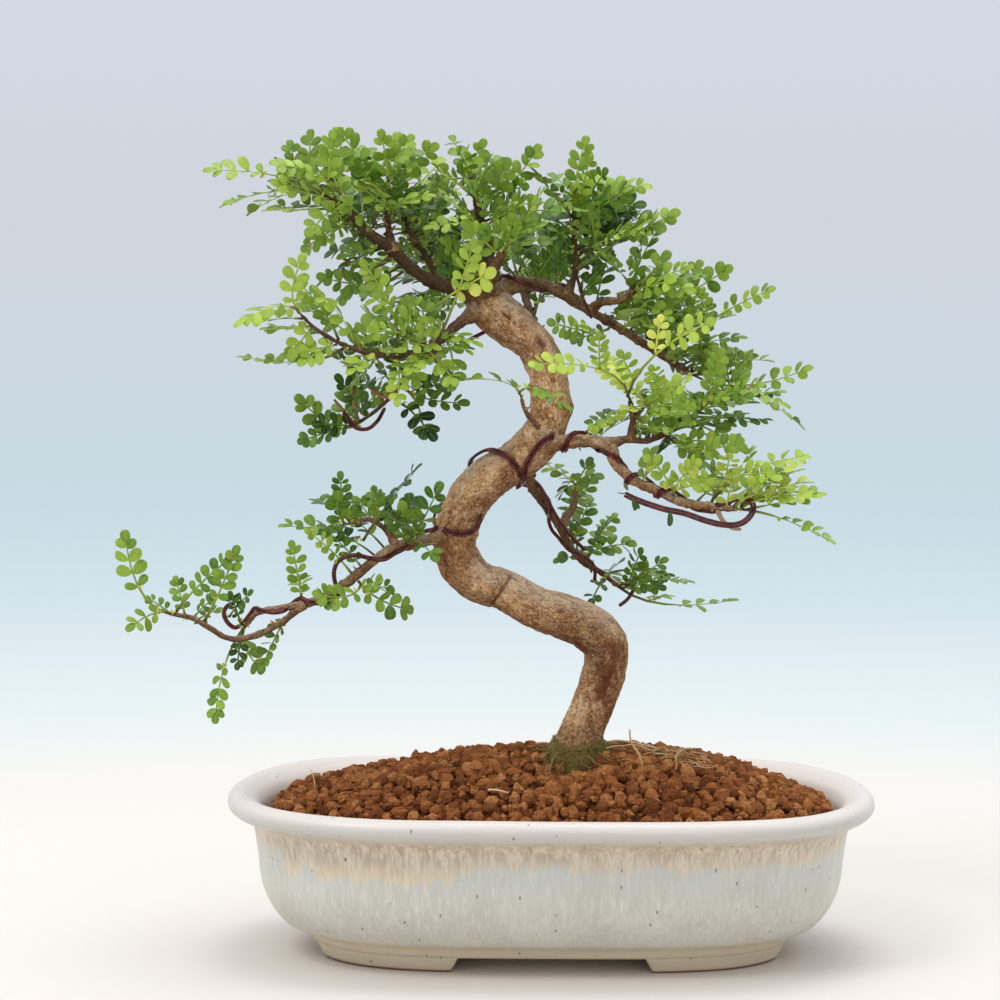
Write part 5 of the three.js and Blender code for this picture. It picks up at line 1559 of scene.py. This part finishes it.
# One leaf's course from its root to its tip: a quadratic curve that leaves along a given direction
class Leaf:
    def __init__(self, root, direction, tip, face):
        self.root = root
        self.bend = root + direction * np.linalg.norm(tip - root) * 0.42
        self.tip = np.asarray(tip, float)
        self.face = face
        track = self.at(np.linspace(0, 1, 201))
        steps = np.linalg.norm(np.diff(track, axis=0), axis=1)
        self.lengths = np.concatenate([[0], np.cumsum(steps)])
        self.length = self.lengths[-1]

    def at(self, t):
        t = np.atleast_1d(t)[:, None]
        return (1 - t) ** 2 * self.root + 2 * t * (1 - t) * self.bend + t ** 2 * self.tip

    def share(self, distance):
        return np.interp(distance, self.lengths, np.linspace(0, 1, 201))

    # along the rib, to its side, and the blade's upper face
    def frame(self, t):
        t = np.atleast_1d(t)
        along = unit(self.at(np.minimum(t + 1e-4, 1)) - self.at(np.maximum(t - 1e-4, 0)))
        upper = unit(np.array([0, -self.face, 1 - self.face]))
        upper = unit(upper - along * (along @ upper)[:, None])
        return self.at(t), along, upper, np.cross(along, upper)

    # where the plain leaf's pairs begin and end, as shares of its course
    def stations(self):
        pairs = 3 if self.length > 44 else 2
        end = 0.8 * foliage["leafletLength"]
        first = max(0.12, 1 - (pairs * foliage["pitch"] + end) / self.length)
        return np.linspace(first, 1 - end / self.length, pairs + 1)

    def samples(self):
        rib = self.at(np.arange(0, self.length + 1e-9, 2.5) / self.length)
        stations = self.stations()
        centre, along, _, across = self.frame((stations[:-1] + stations[1:]) / 2)
        out = np.array([-7, -4.4, -2.2, 2.2, 4.4, 7])[None, :, None, None]
        ahead = np.array([-1.6, 1.2, 3.6])[None, None, :, None]
        blade = centre[:, None, None] + across[:, None, None] * out + along[:, None, None] * ahead
        return np.concatenate([rib, blade.reshape(-1, 3)])


# What a leaf must not touch: points with a radius and an owner, -1 wood, -2 wire, else a spray
class Neighbours:
    def __init__(self):
        self.points = np.zeros((0, 3))
        self.radii = np.zeros(0)
        self.owners = np.zeros(0, int)

    def add(self, points, radii, owner):
        self.points = np.concatenate([self.points, points])
        self.radii = np.concatenate([self.radii, np.broadcast_to(radii, len(points))])
        self.owners = np.concatenate([self.owners, np.full(len(points), owner)])

    def addCourse(self, course, radius, step, owner):
        u = np.linspace(0, 1, math.ceil(course.length / step) + 1)
        self.add(course.point(u), radius(u), owner)

    def near(self, samples, margin):
        low = samples.min(axis=0) - margin
        high = samples.max(axis=0) + margin
        return np.all((self.points > low) & (self.points < high), axis=1)

    def clear(self, samples, root, spray):
        if np.abs(samples[:, 1]).max() > pot["depth"] / 2 - 2:
            return False
        close = self.near(samples, 18) & (self.owners != spray)
        points, radii, owners = self.points[close], self.radii[close], self.owners[close]
        distance = np.linalg.norm(samples[:, None] - points[None], axis=2)
        nearRoot = (np.linalg.norm(samples - root, axis=1) < foliage["rootZone"])[:, None]
        margin = np.where(nearRoot, foliage["rootClearance"], foliage["woodClearance"])
        reach = np.where(owners < 0, radii + margin, foliage["clearance"])
        return not np.any((distance < reach) & ~(nearRoot & (owners == -1)))

    def room(self, samples, root):
        close = self.near(samples, 16)
        if not close.any():
            return 16.0
        distance = np.linalg.norm(samples[:, None] - self.points[None, close], axis=2)
        distance = distance - self.radii[close]
        away = np.linalg.norm(samples - root, axis=1) > 5
        return distance[away].min() if away.any() else 0.0


def layOutSprays():
    neighbours = Neighbours()
    for name, course in courses.items():
        swell = 1.06 if name == "trunk" else 1.0
        neighbours.addCourse(course, lambda u: course.radius(u) * swell, 2.5, -1)
    for route in wire["routes"].values():
        coarse = wireCourse(route)
        neighbours.addCourse(coarse, lambda u: np.full(len(u), 1.2), 1.5, -2)
    bends = [(dy, dz) for dy in range(-36, 37, 4) for dz in range(-12, 13, 4)]
    bends.sort(key=lambda bend: (abs(bend[0]) + 2.2 * abs(bend[1]), bend[0], bend[1]))
    laidOut = {}
    for index, (name, limb, place, tips) in enumerate(sprays):
        course = courses[limb]
        base = course.point(place)[0]
        along = course.along(place)[0]
        direction = along if place == 1 else np.mean([tip[:3] for tip in tips], axis=0) - base
        if place < 1:
            direction = direction - along * 0.85 * (direction @ along)
        direction = unit(direction)
        root = base + direction * (0.3 if place == 1 else course.radius(place)[0] + 0.45)
        leaves = []
        for x, y, z, face in tips:
            start, leaving = root, direction
            if leaves:
                stalk = leaves[0]
                first = stalk.at(stalk.stations()[0])[0]
                start = root + (first - root) * (0.5 + 2 * len(leaves)) / np.linalg.norm(first - root)
                leaving = unit(unit(np.array([x, y, z]) - start) + direction + [0, 0, 0.3])
            for dy, dz in bends:
                leaf = Leaf(start, leaving, np.array([x, y + dy, z + dz]), face)
                samples = leaf.samples()
                if neighbours.clear(samples, root, index):
                    leaves.append(leaf)
                    neighbours.add(samples, 0.0, index)
                    break
        laidOut[name] = leaves
    return laidOut, neighbours


# A leaflet as rings of four points round its length, with a point at each end: the margins are
# thin edges, the middle is folded a little, and the tip is round with a slight notch
leaflet = {
    "at": (0.10, 0.30, 0.58, 0.83, 0.975),
    "wide": (0.40, 0.80, 1.0, 0.86, 0.40),
    "thick": 0.030, "fold": 0.10, "droop": 0.14, "notch": 0.96,
}


def leafletTemplate():
    s = np.array(leaflet["at"])
    w = np.array(leaflet["wide"]) / 2
    left = np.stack([s, -w, np.zeros(5)], -1)
    top = np.stack([s, 0 * s, np.full(5, leaflet["thick"])], -1)
    right = np.stack([s, w, np.zeros(5)], -1)
    bottom = np.stack([s, 0 * s, np.full(5, -leaflet["thick"])], -1)
    rings = np.stack([left, top, right, bottom], axis=1).reshape(-1, 3)
    points = np.concatenate([rings, [[0, 0, 0]], [[leaflet["notch"], 0, 0]]])
    ribLine = np.concatenate([np.tile([0, 1, 0, 0], 5), [1, 0.5]])
    under = np.concatenate([np.tile([0, 0, 0, 1], 5), [0, 0]])
    margin = np.concatenate([np.tile([True, False, True, False], 5), [True, True]])
    return points, ringFaces(5, 4, poles=2), ribLine, under, margin


leafletPoints, leafletFaces, leafletRib, leafletUnder, leafletMargin = leafletTemplate()


def addLeaflets(shape, margins, base, along, upper, length, wide, age, curl):
    # point = base + along s L + across w W + upper (h L + fold |w| - droop s^2) for every leaflet
    count = len(base)
    across = np.cross(along, upper)
    s, w, h = leafletPoints.T
    fold = leaflet["fold"] * np.abs(w)[None] * 2 * wide[:, None]
    lift = h[None] + fold - leaflet["droop"] * curl * s[None] ** 2
    points = (
        base[:, None] + along[:, None] * (s[None] * length[:, None])[..., None]
        + across[:, None] * (w[None] * (length * wide)[:, None])[..., None]
        + upper[:, None] * (lift * length[:, None])[..., None]
    )
    blade = np.stack([
        np.repeat(age, len(s)), np.tile(leafletUnder, count), np.tile(leafletRib, count),
    ], -1)
    shape.add(points, copies(leafletFaces, len(s), count), blade=blade, woody=0.0)
    margins.append(np.tile(leafletMargin, count))


def addLeaf(shape, margins, leaf, rng, age, blade, size):
    start = max(0.0, leaf.length - blade)
    tail = 0.78 * foliage["leafletSize"] * size
    pairs = max(2, round((min(blade, leaf.length) - tail - 1.2) / (foliage["pairSpacing"] * size)))
    reach = np.linspace(start + 1.2, leaf.length - tail - 1.6 * size, pairs)
    t = leaf.share(reach)
    centre, along, upper, across = leaf.frame(t)
    # the rib, flattened where it carries leaflets and round and woody before that
    bladeEnds = np.linspace(start, leaf.length - tail * 0.9, 8)
    ends = np.concatenate([np.linspace(0, start, 5)[:-1], bladeEnds])
    ribT = leaf.share(ends)
    middle, _, ribUpper, ribAcross = leaf.frame(ribT)
    onBlade = ends >= start
    wide = np.where(onBlade, foliage["ribHalfWidth"], 0.62 + 0.25 * (1 - ends / max(start, 1)))
    high = np.where(onBlade, foliage["ribHalfHeight"], wide)
    taper = np.where(onBlade, 1 - 0.4 * (ends - start) / blade, 1)[:, None]
    wide, high = wide[:, None] * taper, high[:, None] * taper
    rings = np.stack([
        middle - ribAcross * wide, middle + ribUpper * high,
        middle + ribAcross * wide, middle - ribUpper * high,
    ], axis=1)
    points, faces = ringSkin(rings, middle[0], middle[-1])
    woody = np.repeat(np.where(onBlade, 0.0, np.clip(1 - ends / max(start, 1), 0, 1)), 4)
    woody = np.concatenate([woody, woody[:1], woody[-1:]])
    tone = np.stack([np.full(len(points), age * 0.7), np.zeros(len(points)), np.full(len(points), 0.6)], -1)
    shape.add(points, faces, blade=tone, woody=woody)
    margins.append(np.zeros(len(points), bool))
    # opposite pairs, leaning towards the tip, larger in the middle of the blade
    place = np.linspace(0, 1, pairs)
    grow = (0.72 + 0.40 * np.sin(np.pi * (0.12 + 0.70 * place))) * size
    lift = rng.normal(0.22, 0.16)
    for side in (-1, 1):
        lean = np.radians(rng.normal(57, 7, pairs) - 8 * place)[:, None]
        tilt = (lift + rng.normal(0, 0.14, pairs))[:, None]
        direction = unit(along * np.cos(lean) + across * side * np.sin(lean) + upper * tilt)
        face = unit(upper + rng.normal(0, 0.30, (pairs, 3)))
        face = squareTo(face, direction)
        base = centre + across * side * foliage["ribHalfWidth"] * 0.7
        base = base + along * rng.normal(0, 0.3, (pairs, 1))
        length = foliage["leafletSize"] * grow * rng.uniform(0.86, 1.12, pairs)
        wideShare = foliage["leafletWide"] * rng.uniform(0.88, 1.12, pairs)
        ages = np.clip(age + rng.normal(0, 0.06, pairs), 0, 1)
        addLeaflets(shape, margins, base, direction, face, length, wideShare, ages, rng.uniform(0.4, 1.6))
    end, endAlong, endUpper, _ = leaf.frame(leaf.share(np.array([leaf.length - tail])))
    addLeaflets(
        shape, margins, end, endAlong, endUpper, np.array([foliage["leafletSize"] * size * 1.05]),
        np.array([foliage["leafletWide"]]), np.array([age]), 0.6,
    )


def makeLeafPaint():
    paint = Paint("pepperLeaf", Specular_IOR_Level=0.32)
    age, under, rib = paint.parts(paint.attribute("blade", output=1))
    woody = paint.attribute("woody")
    place = paint.place()
    mottle = paint.noise(place, 260, 3, 0.6)
    cloud = paint.noise(place, 22, 2, 0.5)
    # tone from the leaf's age, which for thicket leaves also holds painted shade towards the back
    tone = age + (mottle - 0.5) * 0.20 + (cloud - 0.5) * 0.28
    shade = paint.ramp(
        tone, (0.0, colour(206, 210, 92)), (0.18, colour(168, 192, 68)), (0.38, colour(128, 158, 48)),
        (0.58, colour(86, 122, 32)), (0.78, colour(50, 84, 24)), (1.0, colour(26, 50, 18)),
    )
    vein = paint.mask(rib, 0.80, 1.0)
    shade = paint.mix(vein * 0.20, shade, colour(188, 204, 116))
    shade = paint.mix(under * 0.5, shade, colour(156, 174, 104))
    shade = paint.mix(woody, shade, colour(92, 64, 42))
    rough = 0.34 + under * 0.25 + woody * 0.35 + mottle * 0.12
    paint.set(Base_Color=shade, Roughness=rough, Normal=paint.bump(mottle + rib * 0.6, 0.0003, 0.5))
    return paint.material


def addBuds(shape, margins, place, rng, most=6):
    # a tuft of unopened yellow-green leaflets where a leaf leaves its twig
    count = rng.integers(3, most)
    along = unit(rng.normal(size=(count, 3)) + [0, 0, 0.6])
    upper = squareTo(rng.normal(size=(count, 3)), along)
    addLeaflets(
        shape, margins, np.repeat(place[None], count, axis=0), along, upper, rng.uniform(2.0, 3.6, count),
        np.full(count, 0.5), np.full(count, 0.0), 0.5,
    )


def insideOutline(outline, x, z):
    # a place is inside where a line to its right crosses the outline an odd number of times
    corners = np.array(outline, float)
    following = np.roll(corners, -1, axis=0)
    crosses = (corners[:, 1] > z) != (following[:, 1] > z)
    rise = np.where(crosses, following[:, 1] - corners[:, 1], 1)
    reach = corners[:, 0] + (following[:, 0] - corners[:, 0]) * (z - corners[:, 1]) / rise
    return int((crosses & (x < reach)).sum()) % 2 == 1


def hides(samples, root, shown):
    # whether a leaf would stand before one of the limbs that show
    away = np.linalg.norm(samples - root, axis=1) > 9
    across = np.hypot(samples[:, None, 0] - shown[None, :, 0], samples[:, None, 2] - shown[None, :, 2])
    before = samples[:, None, 1] < shown[None, :, 1] + shown[None, :, 3]
    return bool(np.any((across < shown[None, :, 3] + 4.5) & before & away[:, None]))


def thicketLeaf(rng, neighbours, thicket, wood, shown):
    # of several leaves from a limb to a random tip inside the outline, the one with the most room
    outline, (nearest, farthest), _, _, face, lean, _ = thicket
    corners = np.array(outline, float)
    low, high = corners.min(axis=0), corners.max(axis=0)
    best, bestRoom = None, -2.0
    for _ in range(foliage["thicketTries"]):
        x, z = rng.uniform(low, high)
        tip = np.array([x, rng.uniform(nearest, farthest), z])
        if not insideOutline(outline, x, z):
            continue
        away = np.linalg.norm(wood[:, :3] - tip, axis=1)
        near = np.nonzero((away > 19) & (away < 48))[0]
        if len(near) == 0:
            continue
        pick = rng.choice(near[np.argsort(away[near])[:14]])
        start = wood[pick, :3]
        toward = unit(tip - start)
        along = wood[pick, 4:]
        side = unit(toward - along * 0.6 * (along @ toward))
        start = start + side * wood[pick, 3] * 0.8
        leaving = unit(side + toward * 0.8 + [0, 0, 0.35])
        leaf = Leaf(start, leaving, tip, float(np.clip(face + rng.normal(0, 0.22), 0.02, 0.95)))
        samples = leaf.at(np.linspace(0.3, 1, 7))
        if not insideReach(samples) or hides(samples, start, shown):
            continue
        room = min(neighbours.room(samples, start), 7) - 0.05 * away[pick]
        room += 3 * (toward @ unit(np.array(lean)))
        if room > bestRoom:
            best, bestRoom = leaf, room
    return best


def sideLeaf(rng, neighbours, start, along, face, length, shown):
    # of several directions round the twig, the one with the most room
    best, bestRoom = None, 0.9
    for _ in range(foliage["sideTries"]):
        sway = rng.normal(0, 1, 3) * [1.0, 0.8, 0.8]
        direction = unit(along * 0.75 + unit(sway) * 0.95 + [0, 0, 0.18])
        reach = length * rng.uniform(0.8, 1.1)
        tip = start + unit(direction + [0, 0, -0.12]) * reach
        if tip[2] < start[2] - 9:
            continue
        leaf = Leaf(start, direction, tip, float(np.clip(face + rng.normal(0, 0.2), 0, 1)))
        samples = leaf.at(np.linspace(0.15, 1, 7))
        if not insideReach(samples) or hides(samples, start, shown):
            continue
        room = min(neighbours.room(samples, start), 9)
        if room > bestRoom:
            best, bestRoom = leaf, room
    return best


lowCorner = toMillimetres(cadLow) + foliage["boxMargin"]
highCorner = toMillimetres(cadHigh) - foliage["boxMargin"]


def insideReach(samples):
    lowest = lowCorner + [0, 0, foliage["lowestLeaf"]]
    return bool(np.all(samples > lowest) and np.all(samples < highCorner))


def makeFoliage():
    rng = np.random.default_rng(foliage["seed"])
    paint = makeLeafPaint()
    laidOut, neighbours = layOutSprays()
    shown = np.concatenate([woodRows([name], *ends) for name, ends in openLimbs.items()])
    shapes = {spray[0]: Shape() for spray in sprays}
    margins = {spray[0]: [] for spray in sprays}
    total = 0
    strays = []
    bases = []
    for name, limb, place, _ in sprays:
        age = 0.16 + 0.55 * sprayAge.get(name, 0.42)
        low, high = [toMillimetres(corner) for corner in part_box("spray_" + name)]
        bases.append(courses[limb].point(place)[0])
        addBuds(shapes[name], margins[name], bases[-1], rng, 8)
        for leaf in laidOut[name]:
            out = np.maximum(np.maximum(low - leaf.tip, leaf.tip - high), 0).max()
            if out > 1.5:
                strays.append((name, round(float(out), 1)))
            blade = min(foliage["bladeLength"], leaf.length * 0.8)
            addLeaf(shapes[name], margins[name], leaf, rng, age, blade, rng.uniform(0.92, 1.2))
            total += 1
            stalk = leaf.length - blade
            if stalk > 4:
                addBuds(shapes[name], margins[name], leaf.at(leaf.share(stalk))[0], rng)
            count = min(1 + int(stalk / 8), sideLeaves.get(name, 2))
            for k in range(count):
                t = leaf.share(stalk * (k + 0.5) / count + 0.5)
                start, along, _, _ = leaf.frame(t)
                length = rng.uniform(22, 31)
                extra = sideLeaf(rng, neighbours, start[0], along[0], leaf.face, length, shown)
                if extra is None:
                    continue
                neighbours.add(extra.at(np.linspace(0.1, 1, 9)), 1.0, 1000 + total)
                extraAge = float(np.clip(age + rng.normal(0.06, 0.14), 0, 1))
                addLeaf(
                    shapes[name], margins[name], extra, rng, extraAge, extra.length - 2.5,
                    rng.uniform(0.8, 1),
                )
                total += 1
    bases = np.array(bases)
    for name, thicket in thickets.items():
        wood = []
        for limb in thicket[-1]:
            course = courses[limb]
            u = np.linspace(0.18, 1, max(6, int(course.length / 4)))
            wood.append(np.column_stack([course.point(u), course.radius(u), course.along(u)]))
        wood = np.concatenate(wood)
        grown = 0
        for _ in range(thicket[2]):
            leaf = thicketLeaf(rng, neighbours, thicket, wood, shown)
            if leaf is None:
                continue
            neighbours.add(leaf.at(np.linspace(0.2, 1, 9)), 0.6, 5000 + total)
            spray = sprays[np.argmin(np.linalg.norm(bases - leaf.root, axis=1))][0]
            # painted shade: darker towards the back of the thicket
            depth = (leaf.tip[1] - thicket[1][0]) / (thicket[1][1] - thicket[1][0])
            age = thicket[3] + 0.4 * (depth - 0.45) + rng.normal(0, 0.10)
            age = float(np.clip(age, max(thicket[3] - 0.18, 0.02), 1))
            blade = min(rng.uniform(24, 33), leaf.length - 2)
            addLeaf(shapes[spray], margins[spray], leaf, rng, age, blade, rng.uniform(0.85, 1.25))
            if rng.random() < 0.4:
                addBuds(shapes[spray], margins[spray], leaf.at(leaf.share(leaf.length - blade))[0], rng)
            total += 1
            grown += 1
        print("thicket", name, "grew", grown, "of", thicket[2])
    for name, root, tip, face, age, size in foliage["extra"]:
        root = np.array(root, float)
        leaving = unit(unit(np.array(tip) - root) + [0, 0, 0.25])
        leaf = Leaf(root, leaving, tip, face)
        blade = min(foliage["bladeLength"], leaf.length - 4)
        addLeaf(shapes[name], margins[name], leaf, rng, age, blade, size)
        addBuds(shapes[name], margins[name], root, rng, 7)
        total += 1
    # dried leaflets that hang at the end of the right wire
    dried = np.array(foliage["dried"], float)
    upper = unit(np.cross(unit(dried[:, 3:6]), [1.0, 0.4, 0.1]))
    addLeaflets(
        shapes["right_low"], margins["right_low"], dried[:, :3], unit(dried[:, 3:6]), upper, dried[:, 6],
        np.full(len(dried), 0.45), np.full(len(dried), 0.8), 2.4,
    )
    # nothing reaches past the solids' own box
    lowest, highest = toMillimetres(cadLow), toMillimetres(cadHigh)
    for name, shape in shapes.items():
        shape.points = [np.clip(points, lowest, highest) for points in shape.points]
        piece = shape.make("leaves_" + name, paint, "leaf", sharp=np.concatenate(margins[name]))
        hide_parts("spray_" + name)
    print("foliage made,", total, "leaves; tips outside their node's box:", strays)


makeFoliage()


# Mesh screens keep their own meshes and get a plastic paint

def makeScreenPaint():
    paint = Paint("screenPlastic")
    speck = paint.noise(paint.place(), 500, 3, 0.6)
    shade = paint.mix(speck, colour(38, 50, 42), colour(58, 70, 58))
    paint.set(Base_Color=shade, Roughness=0.55 + speck * 0.2, Normal=paint.bump(speck, 0.0002, 0.3))
    return paint.material


screenPaint = makeScreenPaint()
for name in ("drain_screen_left", "drain_screen_right"):
    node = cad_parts[name]
    node.data.materials.clear()
    node.data.materials.append(screenPaint)
print("drain screens painted")


# Studio

studio = {
    "flat": 2.6, "rim": 5.4, "high": 3.2, "around": 96, "flatRings": 12,
    "sky": (0.97, 0.98, 1.0), "skyStrength": 1.1,
    "lamps": [  # name, place, aim, size, watts, colour
        ("keyLamp", (-1.3, -1.3, 2.3), (0, 0, 0.25), 1.1, 20, (1.0, 0.98, 0.95)),
        ("topLamp", (0.3, 0.3, 2.6), (0, 0, 0.2), 1.4, 22, (1.0, 1.0, 1.0)),
    ],
}


def makeFloorPaint():
    # the far floor and wall glow with their own colour, and the near floor takes the light
    paint = Paint("paleFloor", Roughness=0.9, Specular_IOR_Level=0.0, Emission_Strength=1.0)
    far = paint.add("VectorMath", {"operation": "LENGTH"}, {0: paint.place()}, output=1)
    shade = paint.ramp(
        far * 0.17, (0.05, colour(251, 247, 241)), (0.10, colour(247, 249, 247)),
        (0.18, colour(233, 244, 247)), (0.32, colour(213, 229, 236)), (0.50, colour(201, 219, 228)),
        (0.60, colour(203, 217, 225)), (0.70, colour(209, 213, 221)), (0.80, colour(212, 217, 229)),
    )
    glow = paint.mask(far, 0.35, 1.1)
    black = (0.0, 0.0, 0.0, 1.0)
    base = paint.mix(glow, colour(221, 216, 210), black)
    paint.set(Base_Color=base, Emission_Color=paint.mix(glow, black, shade))
    return paint.material


def makeStudio():
    # a round floor that turns up into a wall all round
    flat = np.linspace(0.05, studio["flat"], studio["flatRings"])
    turn = np.linspace(0, np.pi / 2, 25)[1:]
    bend = studio["rim"] - studio["flat"]
    radius = np.concatenate([flat, studio["flat"] + bend * np.sin(turn), [studio["rim"]]])
    height = np.concatenate([np.zeros(len(flat)), bend * (1 - np.cos(turn)), [studio["high"]]])
    a = circle(studio["around"])
    grid = np.stack([
        np.outer(radius, np.cos(a)), np.outer(radius, np.sin(a)), np.outer(height, np.ones(len(a))),
    ], -1)[:, ::-1] * 1000
    faces = ringFaces(len(radius), len(a))
    faces.append(np.arange(len(a))[None, ::-1])
    shape = Shape()
    shape.add(grid - potMiddle * 1000, faces)
    floor = shape.make("studioFloor", makeFloorPaint())
    world = bpy.data.worlds.new("studioSky")
    world.use_nodes = True
    world.node_tree.nodes["Background"].inputs["Color"].default_value = (*studio["sky"], 1)
    world.node_tree.nodes["Background"].inputs["Strength"].default_value = studio["skyStrength"]
    scene.world = world
    for name, place, aim, size, watts, tint in studio["lamps"]:
        data = bpy.data.lights.new(name, "AREA")
        data.shape = "DISK"
        data.size = size
        data.energy = watts
        data.color = tint
        lamp = bpy.data.objects.new(name, data)
        lamp.location = place
        direction = Matrix.Translation(aim).translation - lamp.location
        lamp.rotation_euler = direction.to_track_quat("-Z", "Y").to_euler()
        scene.collection.objects.link(lamp)


makeStudio()
print("studio made")
